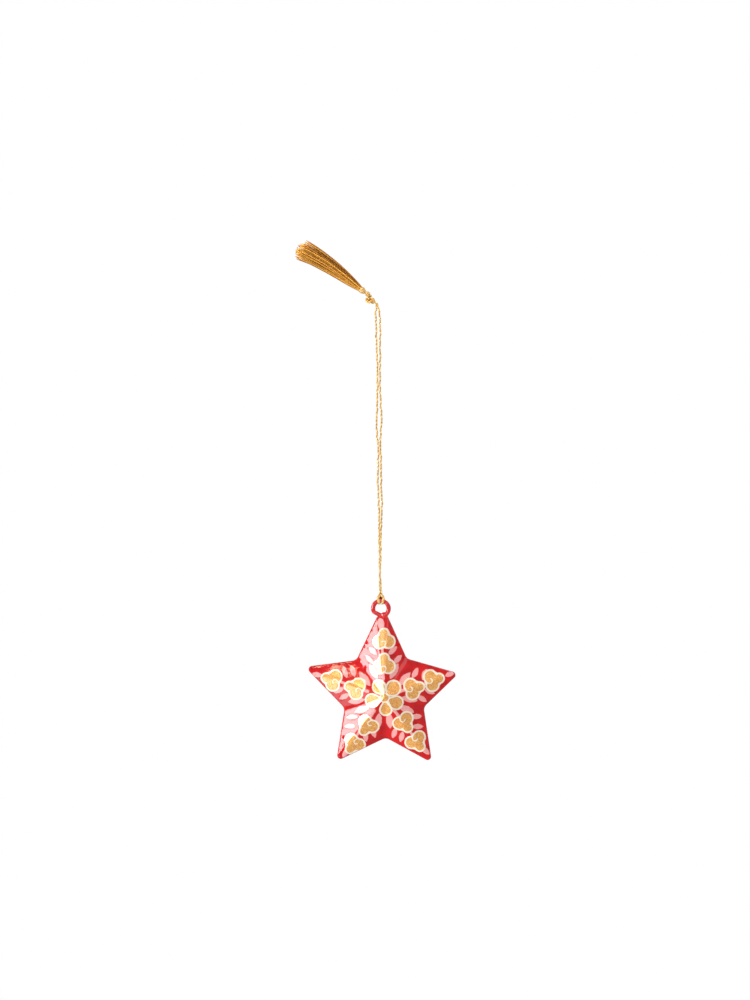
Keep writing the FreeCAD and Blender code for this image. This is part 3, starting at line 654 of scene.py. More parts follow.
@dataclass(frozen=True)
class StarOutline:
    """The star's rounded outline about its centre, seen from the front."""

    tip_reach: float = 40.0
    notch_reach: float = 20.4
    tip_shares: tuple[float, ...] = (1.07, 1.0, 0.98, 1.0, 0.93)
    notch_shares: tuple[float, ...] = (1.03, 0.97, 1.01, 0.98, 1.0)
    tip_angles: tuple[float, ...] = (89.9, 159.8, 233.7, 304.3, 374.9)
    notch_angles: tuple[float, ...] = (127.8, 198.1, 271.9, 341.4, 416.6)
    tip_radius: float = 1.7
    eye_tip_radius: float = 3.3
    notch_radius: float = 3.5
    line_steps: int = 52
    arc_steps: int = 16

    def facet_run(self) -> float:
        """Find the distance from the centre to an edge, as the height of its triangle."""
        half = math.pi / len(self.tip_angles)
        out = self.tip_reach - self.notch_reach * math.cos(half)
        edge = math.hypot(out, self.notch_reach * math.sin(half))
        return self.tip_reach * self.notch_reach * math.sin(half) / edge

    def points(self) -> Array:
        """Walk the outline anticlockwise: an arc at each corner and a line after it.

        Returns:
            Places in the star's plane, shape (n, 2).
        """
        angles = np.radians(np.stack((self.tip_angles, self.notch_angles), axis=1).ravel())
        tips = np.array(self.tip_shares) * self.tip_reach
        notches = np.array(self.notch_shares) * self.notch_reach
        reaches = np.stack((tips, notches), axis=1).ravel()
        radii = np.full(len(angles), self.notch_radius)
        radii[::2] = self.tip_radius
        radii[0] = self.eye_tip_radius
        corners = np.stack((np.cos(angles), np.sin(angles)), axis=1) * reaches[:, None]
        back = unit(np.roll(corners, 1, axis=0) - corners)
        ahead = unit(np.roll(corners, -1, axis=0) - corners)
        half = np.arccos(np.clip(np.sum(back * ahead, axis=1), -1, 1)) / 2
        middles = corners + unit(back + ahead) * (radii / np.sin(half))[:, None]
        near = corners + back * (radii / np.tan(half))[:, None]
        far = corners + ahead * (radii / np.tan(half))[:, None]
        share = np.linspace(0, 1, self.arc_steps, endpoint=False)[None, :, None]
        chord = unit((near - middles)[:, None] * (1 - share) + (far - middles)[:, None] * share)
        arcs = middles[:, None] + chord * radii[:, None, None]
        share = np.linspace(0, 1, self.line_steps, endpoint=False)[None, :, None]
        lines = far[:, None] * (1 - share) + np.roll(near, -1, axis=0)[:, None] * share
        return np.concatenate((arcs, lines), axis=1).reshape(-1, 2)


@dataclass(frozen=True)
class FolkPainting:
    """A flower at the centre, two blossoms on each arm, and leaves between them.

    An arm's own directions are out along its ridge and left of that. Every shape is a signed
    distance, in millimetres: a circle is its radius less the distance to its middle, a petal is
    the space between two circles and their common tangents, and a leaf is where two equal circles
    overlap. A petal is its angle, its reach and its outer radius, and a leaf's size is its length
    and width.
    """

    arm_angles: tuple[float, ...] = (90.0, 160.6, 233.9, 304.2, 375.0)
    blossoms: tuple[tuple[Pair, Pair], ...] = (
        ((14.8, -0.4), (26.5, -0.5)),
        ((13.9, 1.0), (25.7, 1.0)),
        ((16.0, 1.9), (27.3, 1.8)),
        ((15.8, 0.6), (27.0, 0.0)),
        ((14.4, -0.6), (24.6, 0.4)),
    )
    petals: tuple[Place, ...] = (
        (46.0, 9.05, 3.0),
        (117.0, 8.35, 2.6),
        (193.0, 8.85, 2.7),
        (274.0, 8.35, 2.35),
        (334.0, 8.85, 2.7),
    )
    flower_place: Pair = (0.35, -0.4)
    petal_root: Pair = (2.7, 0.5)
    disc_radius: float = 1.75
    line_width: float = 0.88
    disc_line: float = 0.704
    lobe_radius: float = 2.62
    lobe_spread: float = 2.1
    lobe_set_back: float = 0.8
    lobe_join: float = 0.9
    nose_radius: float = 1.88
    nose_reach: float = 3.15
    nose_join: float = 1.3
    curl_place: Pair = (-1.5, 0.3)
    curl_radius: float = 1.15
    curl_half: float = 0.3
    curl_turn: Pair = (-150.0, 75.0)
    curl_gap: float = -0.6
    curl_foot: tuple[Pair, Pair] = ((-3.3, -0.2), (-2.1, -0.6))
    big_leaf: Pair = (8.3, 3.3)
    big_leaf_place: Pair = (11.5, 4.8)
    big_leaf_lean: float = 30.25644
    big_leaf_stray: float = 0.3
    left_leaf_shifts: tuple[float, ...] = (0.0, 1.7, 0.0, 0.0, 0.0)
    small_leaf: Pair = (5.7, 2.5)
    small_leaf_places: tuple[Pair, ...] = ((21.3, 4.5), (17.5, 6.6))
    small_leaf_lean: float = 48.0
    small_leaf_stray: float = 0.35
    lean_stray: float = 5.0
    tip_leaf: Pair = (5.4, 2.5)
    tip_leaf_place: Pair = (33.4, 1.0)
    top_leaf: Pair = (6.2, 3.4)
    top_leaf_place: Pair = (34.2, 0.9)
    tip_leaf_lean: float = 8.0
    stems: tuple[Place, ...] = ((8.2, 12.0, 0.75), (19.0, 22.6, 0.6))
    stem_sides: Pair = (0.2, 0.4)
    outside: float = -9.0
    deepest: float = 1.5
    seed: int = 31

    @staticmethod
    def circle(points: Array, middle: Sequence[float], radius: float) -> Array:
        """Measure how far points lie outside a circle."""
        return np.linalg.norm(points - np.array(middle), axis=1) - radius

    @staticmethod
    def run(points: Array, start: Sequence[float], end: Sequence[float]) -> Array:
        """Measure how far points lie from a straight stroke's middle line."""
        origin = np.array(start)
        along = np.array(end) - origin
        share = np.clip((points - origin) @ along / (along @ along), 0, 1)
        return np.linalg.norm(points - origin - share[:, None] * along, axis=1)

    @staticmethod
    def petal(points: Array, angle: float, near: Pair, far: Pair) -> Array:
        """Measure how far points lie outside a petal.

        Args:
            points: places, shape (n, 2).
            angle: the way the petal points, in degrees.
            near: its inner circle's distance out and radius.
            far: its outer circle's distance out and radius.

        Returns:
            The distances, below zero inside.
        """
        out, left = turned(points, angle)
        out = out - near[0]
        across = np.abs(left)
        length = far[0] - near[0]
        sine = (near[1] - far[1]) / length
        cosine = math.sqrt(1 - sine * sine)
        side = out * cosine - across * sine
        inner = np.hypot(across, out) - near[1]
        outer = np.hypot(across, out - length) - far[1]
        flank = across * cosine + out * sine - near[1]
        return np.where(side < 0, inner, np.where(side > length * cosine, outer, flank))

    @staticmethod
    def leaf(points: Array, middle: Sequence[float], angle: float, size: Pair) -> Array:
        """Measure how far points lie outside a leaf of a length and width at an angle."""
        along, across = np.abs(turned(points - np.array(middle), angle))
        half, width = size[0] / 2, size[1]
        radius = (half * half + width * width / 4) / width
        offset = radius - width / 2
        pointed = (along - half) * offset > across * half
        flank = np.hypot(across + offset, along) - radius
        return np.where(pointed, np.hypot(across, along - half), flank)

    @staticmethod
    def line(distance: Array, width: float) -> Array:
        """Measure how far inside a line round a shape points lie, by their distance to it."""
        return width / 2 - np.abs(distance - width / 2)

    def covers(self, points: Array) -> dict[str, Array]:
        """Measure how far inside each colour the points lie.

        Args:
            points: places in the star's plane about its centre, shape (n, 2).

        Returns:
            Distances above zero inside a colour, by its attribute's name.
        """
        flower = points - np.array(self.flower_place)
        gold, cream, leaf = np.full((3, len(points)), self.outside)
        for angle, reach, radius in self.petals:
            distance = self.petal(flower, angle, self.petal_root, (reach - radius, radius))
            gold = np.maximum(gold, -distance)
            cream = np.maximum(cream, self.line(distance, self.line_width))
        disc = self.circle(flower, (0, 0), self.disc_radius)
        gold = np.maximum(gold, -disc)
        cream = np.maximum(np.minimum(cream, disc), self.line(disc, self.disc_line))
        for arm, angle in enumerate(self.arm_angles):
            on_arm = np.stack(turned(points, angle), axis=1)
            for middle in self.blossoms[arm]:
                nearby = on_arm - np.array(middle)
                distance = self.blossom(nearby)
                gold = np.maximum(gold, -distance)
                cream = np.maximum(cream, self.line(distance, self.line_width))
                cream = np.maximum(cream, self.curl(nearby))
            leaf = np.maximum(leaf, self.foliage(on_arm, arm))
        inside = {Layer.GOLD: gold, Layer.CREAM: cream, Layer.LEAF: leaf}
        return {
            layer.value: np.clip(depth, -self.deepest, self.deepest)
            for layer, depth in inside.items()
        }

    def blossom(self, points: Array) -> Array:
        """Measure how far points lie outside a blossom of two side lobes and a nose."""
        left = self.circle(points, (-self.lobe_set_back, self.lobe_spread), self.lobe_radius)
        right = self.circle(points, (-self.lobe_set_back, -self.lobe_spread), self.lobe_radius)
        nose = self.circle(points, (self.nose_reach, 0.0), self.nose_radius)
        return soft_min(soft_min(left, right, self.lobe_join), nose, self.nose_join)

    def curl(self, points: Array) -> Array:
        """Measure how far inside a blossom's curl points lie: an open ring on a short foot."""
        rest = points - np.array(self.curl_place)
        turn = np.degrees(np.arctan2(rest[:, 1], rest[:, 0]))
        ring = self.curl_half - np.abs(np.linalg.norm(rest, axis=1) - self.curl_radius)
        there = (turn > self.curl_turn[0]) & (turn < self.curl_turn[1])
        opened = np.where(there, ring, self.curl_gap)
        return np.maximum(opened, self.curl_half - self.run(points, *self.curl_foot))

    def foliage(self, points: Array, arm: int) -> Array:
        """Measure how far inside an arm's leaves and stems points lie.

        A big leaf and two small ones stand on either side, shifted and turned a little at random.

        Args:
            points: places out along the arm and left of it, shape (n, 2).
            arm: the arm's number.

        Returns:
            The distances, above zero inside.
        """
        spin = np.random.default_rng(self.seed + arm)
        tip, size = self.tip_leaf_place, self.tip_leaf
        if arm == 0:
            tip, size = self.top_leaf_place, self.top_leaf
        cover = -self.leaf(points, tip, self.tip_leaf_lean, size)
        for side, shift in ((-1.0, 0.0), (1.0, self.left_leaf_shifts[arm])):
            out, across = self.big_leaf_place
            stray = spin.uniform(-self.big_leaf_stray, self.big_leaf_stray, 2)
            middle = stray + (out, (across + shift) * side)
            lean = side * self.big_leaf_lean
            cover = np.maximum(cover, -self.leaf(points, middle, lean, self.big_leaf))
            for out, across in self.small_leaf_places:
                stray = spin.uniform(-self.small_leaf_stray, self.small_leaf_stray, 2)
                middle = stray + (out, across * side)
                turn = spin.uniform(-self.lean_stray, self.lean_stray)
                lean = side * (self.small_leaf_lean + turn)
                cover = np.maximum(cover, -self.leaf(points, middle, lean, self.small_leaf))
        for start, end, half in self.stems:
            ends = zip((start, end), self.stem_sides)
            cover = np.maximum(cover, half - self.run(points, *ends))
        return cover


@dataclass(frozen=True)
class StarShell:
    """One pressed half shell: an upright rim, a rolled edge and ten facets that meet in a point.

    A coat is a painted colour, its height as a share of the relief, and half its edge's width.
    """

    outline: StarOutline = StarOutline()
    painting: FolkPainting = FolkPainting()
    crown_depth: float = 12.0
    rim_depth: float = 0.8
    rolled_radius: float = 0.8
    wall: float = 0.35
    tip_wall: float = 0.42
    facet_rows: int = 116
    roll_rows: int = 7
    inner_rows: int = 5
    first_share: float = 0.012
    last_share: float = 0.985
    relief: float = 0.1
    coats: tuple[tuple[Layer, float, float], ...] = (
        (Layer.LEAF, 0.35, 0.15),
        (Layer.GOLD, 0.3, 0.2),
        (Layer.CREAM, 0.6, 0.2),
    )
    dent: float = 0.032

    def profile(self) -> Array:
        """Run from the outer point over the rolled edge and back inside, as share and depth.

        The facet is a straight line to the rolled edge, which is a circular arc that touches the
        facet and the upright rim. The inside is the outside moved in by the wall.

        Returns:
            Shares of the outline and depths in front of the seam, shape (n, 2).
        """
        run = self.outline.facet_run()
        slope = math.atan2(self.crown_depth - self.rim_depth, run)
        reach = self.rolled_radius / math.tan((math.pi / 2 + slope) / 2)
        start = np.array((run - reach * math.cos(slope), self.rim_depth + reach * math.sin(slope)))
        share = np.linspace(self.first_share, 1, self.facet_rows)[:, None]
        facet = np.array((0.0, self.crown_depth)) * (1 - share) + start * share
        middle = np.array((run - self.rolled_radius, self.rim_depth - reach))
        turn = np.linspace(math.pi / 2 - slope, 0, self.roll_rows)[1:]
        roll = middle + self.rolled_radius * np.stack((np.cos(turn), np.sin(turn)), axis=1)
        inner_run = run - self.wall
        rim = np.array(((run, 0.0), (inner_run, 0.0)))
        lift = self.wall / math.cos(slope)
        share = np.linspace(0, self.last_share, self.inner_rows)[:, None]
        low = self.rim_depth + (self.crown_depth - self.rim_depth) * self.wall / run - lift
        inside = np.array((inner_run, low)) * (1 - share)
        inside = inside + np.array((0.0, self.crown_depth - lift)) * share
        rows = np.concatenate((facet, roll, rim, inside))
        rows[:, 0] /= run
        return rows

    @staticmethod
    def dents(x: Array, z: Array, sign: int) -> Array:
        """Sum three slow waves of given lengths, which differ a little from front to rear."""
        first = np.sin(x * 0.31 + 1.3 * sign) * np.cos(z * 0.27 + 0.6)
        second = 0.6 * np.sin(x * 0.62 - z * 0.45 + 2.0)
        return first + second + 0.4 * np.cos(x * 0.23 + z * 0.91 - sign)

    def build(self, side: Side, name: str) -> Piece:
        """Make the shell: outline times share across, depth along Y, dents and paint relief on it.

        Args:
            side: the half to make.
            name: the piece's name.

        Returns:
            The shell.
        """
        edge = self.outline.points()
        rows = self.profile()
        flat = rows[:, 0][:, None, None] * edge[None]
        x, z = flat[..., 0], flat[..., 1]
        tips = np.zeros((2, 2))
        covers = self.painting.covers(np.concatenate((flat.reshape(-1, 2), tips)))
        lift = np.zeros(x.shape)
        for layer, height, half in self.coats:
            cover = covers[layer.value][: x.size].reshape(x.shape)
            lift = lift + height * smooth_step(cover, -half, half)
        number = np.arange(len(rows))[:, None]
        painted = number < self.facet_rows
        pressed = number < self.facet_rows + self.roll_rows - 2
        depth = rows[:, 1][:, None]
        fade = np.clip(depth - self.rim_depth, 0, 1) * pressed
        dents = self.dent * self.dents(x, z, side.value) * fade
        depth = (depth + self.relief * lift * painted + dents) * side.value
        points = np.stack((x + STAR_SHIFT, depth, z + STAR_Z), axis=-1).reshape(-1, 3)
        depths = (self.crown_depth, self.crown_depth - self.tip_wall)
        ends = [(STAR_SHIFT, end * side.value, STAR_Z) for end in depths]
        faces = closed_faces(len(rows), len(edge))
        if side is Side.FRONT:
            faces = [group[:, ::-1] for group in faces]
        return make_mesh(name, np.concatenate((points, ends)), faces, covers)


def build_star(nodes: dict[str, Piece]) -> list[Piece]:
    """Build the two shells, and lacquer the solder round them, the wire eye and its solder.

    Args:
        nodes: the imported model's own meshes, by their names.

    Returns:
        The star's pieces.
    """
    front = StarShell().build(Side.FRONT, "painted_front")
    rear = StarShell().build(Side.REAR, "painted_rear")
    dress(front, PAINTED, "star", "front_shell")
    dress(rear, PAINTED, "star", "rear_shell")
    kept = [nodes[name] for name in ("rim_solder", "hanging_eye", "eye_solder")]
    for piece in kept:
        piece.data.materials.clear()
        piece.data.materials.append(PLAIN.make())
    return [front, rear, *kept]


@dataclass(frozen=True)
class HangingThread:
    """The doubled thread: two strands from the hitch up into the top knot."""

    diameter: float = 0.85
    left_route: tuple[Place, ...] = (
        (-0.646, 0.332, -137.9), (-0.6, 0.42, -134.5), (-0.62, 0.5, -129.0), (-0.55, 0.52, -122.5),
        (-0.5, 0.5, -117.9), (-0.62, 0.42, -112.8), (-0.6, 0.38, -106.9), (-0.5, 0.3, -102.2),
        (-0.66, 0.2, -96.7), (-0.63, 0.15, -91.2), (-0.9, 0.05, -86.1), (-0.8, 0.0, -80.2),
        (-0.4, 0.1, -71.8), (-0.5, 0.08, -65.1), (-1.28, 0.0, -58.8), (-0.7, 0.05, -49.5),
        (-0.5, 0.1, -43.2), (-0.3, 0.12, -37.4), (-0.25, 0.15, -32.0), (-0.2, 0.15, -26.1),
        (-0.62, 0.05, -18.3), (-0.48, 0.0, -11.5), (-0.68, 0.0, -6.6), (-0.62, 0.0, -2.6),
        (-0.3, 0.15, 0.35), (-0.42, 0.32, 1.45), (-1.35, 0.3, 2.75), (-2.5, 0.1, 3.4),
    )
    right_route: tuple[Place, ...] = (
        (-0.051, -0.332, -137.9), (-0.4, -0.42, -134.5), (-0.55, -0.5, -129.0),
        (-0.3, -0.5, -122.5), (0.0, -0.48, -117.9), (-0.14, -0.42, -112.8), (0.32, -0.38, -108.2),
        (0.49, -0.3, -103.2), (0.9, -0.2, -96.7), (0.92, -0.18, -92.0), (0.62, -0.1, -86.1),
        (0.76, 0.0, -80.2), (0.73, -0.1, -71.8), (0.5, -0.1, -65.1), (0.86, 0.0, -60.3),
        (1.52, 0.0, -54.4), (1.17, -0.02, -49.5), (0.95, -0.08, -43.2), (0.85, -0.1, -37.4),
        (0.9, -0.12, -32.0), (1.16, -0.1, -26.1), (1.14, 0.0, -18.3), (1.38, 0.0, -11.5),
        (1.42, 0.0, -6.6), (1.1, 0.0, -3.2), (0.42, -0.15, 0.35), (0.15, -0.32, 1.45),
        (-1.15, -0.3, 2.5), (-2.5, -0.1, 3.3),
    )
    waver: float = 0.09
    twist: Twist = Twist(ply_radius=0.26, across=0.23, through=0.23, pitch=3.7, step=0.16)
    phases: Pair = (0.4, 1.9)
    tone: float = 0.2
    curve_steps: int = 24
    blend_from: Place = (0, 0, 0.0012)
    blend_to: Place = (0, 0, -0.0045)

    def spline_points(self, name: str, route: Sequence[Place]) -> Array:
        """Read a smooth line through a route from its spline.

        Args:
            name: a name for the spline while it is read.
            route: the route's points.

        Returns:
            Places along the line, shape (n, 3), in millimetres.
        """
        curve = bpy.data.curves.new(name, "CURVE")
        curve.dimensions = "3D"
        curve.resolution_u = self.curve_steps
        spline = curve.splines.new("NURBS")
        spline.points.add(len(route) - 1)
        places = np.concatenate((np.array(route) * MM, np.ones((len(route), 1))), axis=1)
        spline.points.foreach_set("co", places.ravel())
        spline.order_u = 3
        spline.use_endpoint_u = True
        holder = put_in_scene(name, curve)
        line = bpy.data.meshes.new_from_object(holder)
        points = np.empty(len(line.vertices) * 3)
        line.vertices.foreach_get("co", points)
        bpy.data.objects.remove(holder)
        bpy.data.meshes.remove(line)
        return points.reshape(-1, 3) / MM

    def wavering(self, line: Array, phase: float) -> Array:
        """Shift a line sideways by slow sines of its height, of given lengths."""
        height = line[:, 2]
        sway = np.sin(height * 1.15 + 5 * phase) + 0.7 * np.sin(height * 0.63 + 2 * phase)
        depth = np.sin(height * 0.9 + 3 * phase)
        return self.waver * np.stack((sway, 0.6 * depth, 0 * height), axis=1)

    def strand(
        self, name: str, route: Sequence[Place], phase: float
    ) -> Piece:
        """Args:
            name: the strand's name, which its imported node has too.
            route: the points that it passes.
            phase: where its twist and its waver begin, in radians.

        Returns:
            The strand.
        """
        line = self.spline_points(f"{name}_line", route)
        line = line + self.wavering(line, phase)
        shape = Shape()
        self.twist.add(shape, line, np.array((1.0, 0.0, 0.0)), phase, self.tone)
        piece = shape.finish(name)
        piece.data.materials.append(GOLD.make())
        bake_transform(piece)
        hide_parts(f"cord_{name}")
        return piece

    def build(self, on_cord: Sequence[Piece]) -> list[Piece]:
        """Make both strands."""
        left = self.strand("left_strand", self.left_route, self.phases[0])
        return [left, self.strand("right_strand", self.right_route, self.phases[1])]


@dataclass(frozen=True)
class Hitch:
    """The bight and two turns that hold the wire eye, in pale pressed thread."""

    turn_radius: float = 1.36
    low_spread: float = 0.72
    back_spread: float = 0.85
    wide_spread: float = 1.36
    front_widening: float = 0.1
    wrap_angle: float = 35.0
    rise: float = 1.15
    arch_rise: float = 1.6
    arch_set_back: float = 0.5
    foot: float = 3.87
    tail_x: float = 0.3
    tail_y: float = 0.33
    knee_back: float = 0.6
    knee_rise: float = 2.3
    tail_fade: float = 1.5
    inside_heights: Pair = (0.9, 2.9)
    inside_depths: Pair = (0.35, -0.25)
    inside_spread: float = 0.26
    tail_places: int = 24
    turn_places: int = 60
    upright_places: int = 16
    bend_places: int = 24
    pressed_phase: float = 0.3
    pressed_tone: float = 0.2
    tail_tone: float = 0.3
    pressed: Twist = Twist(
        ply_radius=0.3, across=0.36, through=0.06, pitch=1.9, step=0.12, plies=3, tone_step=0.6
    )
    loose: Twist = Twist(ply_radius=0.3, across=0.18, through=0.18, pitch=2.9, step=0.14)

    def side(self) -> tuple[Array, Array]:
        """Trace the right side: its tail, then its turn under the wire and half of the bight.

        The turn is a circle about the pivot: y = -r cos a, z = -r sin a, for a from behind to the
        front, and it is narrowest at its lowest. The bight is a half ellipse that stands on two
        uprights which lean apart. The tail is a quadratic curve.

        Returns:
            The tail and the rest, each places about the pivot, shape (n, 3).
        """
        wrap = math.radians(self.wrap_angle)
        radius = self.turn_radius
        back = np.array((self.back_spread, radius * math.cos(wrap), radius * math.sin(wrap)))
        knee = np.array((self.back_spread, self.knee_back, self.knee_rise))
        top = np.array((self.tail_x, -self.tail_y, self.foot))
        share = np.linspace(0, 1, self.tail_places)[:, None]
        tail = top * (1 - share) ** 2 + 2 * knee * share * (1 - share) + back * share**2
        share = np.linspace(0, 1, self.turn_places)
        turn = np.linspace(math.pi + wrap, 0, self.turn_places)
        narrowing = (self.low_spread - self.back_spread) * np.clip(np.sin(turn), 0, 1)
        width = self.back_spread + narrowing + self.front_widening * share**2
        under = np.stack((width, -radius * np.cos(turn), -radius * np.sin(turn)), axis=1)
        share = np.linspace(0, 1, self.upright_places)[1:]
        lean = width[-1] + (self.wide_spread - width[-1]) * np.sin(share * math.pi / 2)
        upright = np.stack((lean, 0 * share - radius, self.rise * share), axis=1)
        bend = np.linspace(0, math.pi / 2, self.bend_places)[1:]
        across = self.wide_spread * np.cos(bend)
        depth = -radius + self.arch_set_back * np.sin(bend)
        height = self.rise + self.arch_rise * np.sin(bend)
        bight = np.stack((across, depth, height), axis=1)
        return tail, np.concatenate((under, upright, bight))

    def build(self) -> list[Piece]:
        """Twist the bight and its turns, the tails behind them, and dark thread between them that
        is painted shade in the bight's hole.

        Returns:
            The hitch's pieces.
        """
        tail, side = self.side()
        pivot = np.array((EYE_SHIFT, 0.0, PIVOT_Z))
        start = np.array((1.0, 0.0, 0.0))
        bight, tails, inside = Shape(), Shape(), Shape()
        loop = np.concatenate((side, side[-2::-1] * (-1, 1, 1)))
        self.pressed.add(bight, loop + pivot, start, self.pressed_phase, self.pressed_tone)
        height = np.linspace(*self.inside_heights, self.bend_places)
        sunk, slope = self.inside_depths
        fade = np.linspace(1, 0, self.tail_places) ** self.tail_fade
        for sign in (1.0, -1.0):
            leg = tail * (sign, 1, 1)
            leg[:, 1] = leg[:, 1] + (1 - sign) * self.tail_y * fade
            self.loose.add(tails, leg + pivot, start, sign, self.tail_tone)
            bowed = self.inside_spread * sign * np.cos(height - sum(self.inside_heights) / 2)
            inner = np.stack((bowed, sunk + slope * height, height), axis=1)
            # Dark threads behind the bight are painted shade that fills the hole between its legs.
            self.loose.add(inside, inner + pivot, start, 2 * sign, 0.0)
        return [
            dress(bight.finish("hitch_bight"), PALE, "hitch", "cord_hitch"),
            dress(tails.finish("hitch_tails"), KNOTTED, "hitch"),
            dress(inside.finish("hitch_painted_shade"), PAINTED_SHADE_THREAD, "hitch"),
        ]


@dataclass(frozen=True)
class TopKnot:
    """The overhand knot of the doubled thread, drawn up tight."""

    middle: Place = (-3.42, 0.0, 3.55)
    angle: float = 126.0
    size: Place = (0.8, 0.52, 0.52)
    lobe_depth: float = 1.7
    first_turn: float = 0.5
    half_gap: float = 0.3
    places: int = 260
    phases: Pair = (0.0, 1.4)
    tone: float = 0.45
    core_size: Place = (1.8, 1.25, 1.0)
    core_end: float = 0.08
    core_tone: float = 0.1
    core_rows: int = 14
    core_columns: int = 20
    neck_radius: float = 1.05
    neck_thread: float = 0.3
    neck_winds: float = 9.0
    neck_tone: float = 0.6
    twist: Twist = Twist(ply_radius=0.28, across=0.22, through=0.22, pitch=2.6, step=0.14)

    def thread(self) -> Piece:
        """Lay two threads side by side along a three-lobed knot.

        The line is sin t + 2 sin 2t along, 2 cos 2t - cos t across and -sin 3t deep, and the two
        threads lie either side of it.

        Returns:
            The knotted thread.
        """
        turn = np.linspace(0, TURN, self.places) + self.first_turn
        along = np.sin(turn) + 2 * np.sin(2 * turn)
        across = 2 * np.cos(2 * turn) - np.cos(turn)
        local = np.stack((along, across, -self.lobe_depth * np.sin(3 * turn)), axis=1)
        axes = leaning_axes(self.angle)
        line = (local * np.array(self.size)) @ axes + np.array(self.middle)
        first, _ = steady_frames(line, axes[2])
        shape = Shape()
        for side, phase in zip((-1, 1), self.phases):
            beside = line + first * (side * self.half_gap)
            self.twist.add(shape, beside, axes[0], phase, self.tone)
        return shape.finish("knot_thread")

    def core(self) -> Piece:
        """Fill the knot's middle with a dark mass of painted shade: cos v along, and sin v round
        it, times the core's three sizes.
        """
        fall = np.linspace(self.core_end, math.pi - self.core_end, self.core_rows)[:, None]
        turn = np.linspace(0, TURN, self.core_columns, endpoint=False)[None]
        rings = (np.cos(fall) + 0 * turn, np.sin(fall) * np.cos(turn), np.sin(fall) * np.sin(turn))
        tips = ((1.0, 0.0, 0.0), (-1.0, 0.0, 0.0))
        local = np.concatenate((np.stack(rings, axis=-1).reshape(-1, 3), tips))
        points = (local * self.core_size) @ leaning_axes(self.angle) + np.array(self.middle)
        shape = Shape()
        shape.add(points, closed_faces(self.core_rows, self.core_columns), self.core_tone)
        return shape.finish("knot_shade_core")

    def neck(self) -> Piece:
        """Wind a small ball where the tassel turns: radius times sin v round, cos v along."""
        fall = np.linspace(0.0, math.pi, self.places)
        turn = fall * self.neck_winds
        spiral = (np.cos(fall), np.sin(fall) * np.cos(turn), np.sin(fall) * np.sin(turn))
        axes = leaning_axes(self.angle)
        line = (self.neck_radius * np.stack(spiral, axis=1)) @ axes + np.array(TASSEL_ROOT)
        shape = Shape()
        shape.tube(line, self.neck_thread, THREAD_SIDES, axes[0], self.neck_tone)
        return shape.finish("knot_neck")

    def build(self) -> list[Piece]:
        """Make the knotted thread, the dark core that is painted shade in its gaps, and the ball at
        its end.
        """
        return [
            dress(self.thread(), KNOTTED, "knot", "cord_knot"),
            dress(self.core(), PAINTED_SHADE_OCHRE, "knot"),
            dress(self.neck(), KNOTTED, "knot"),
        ]


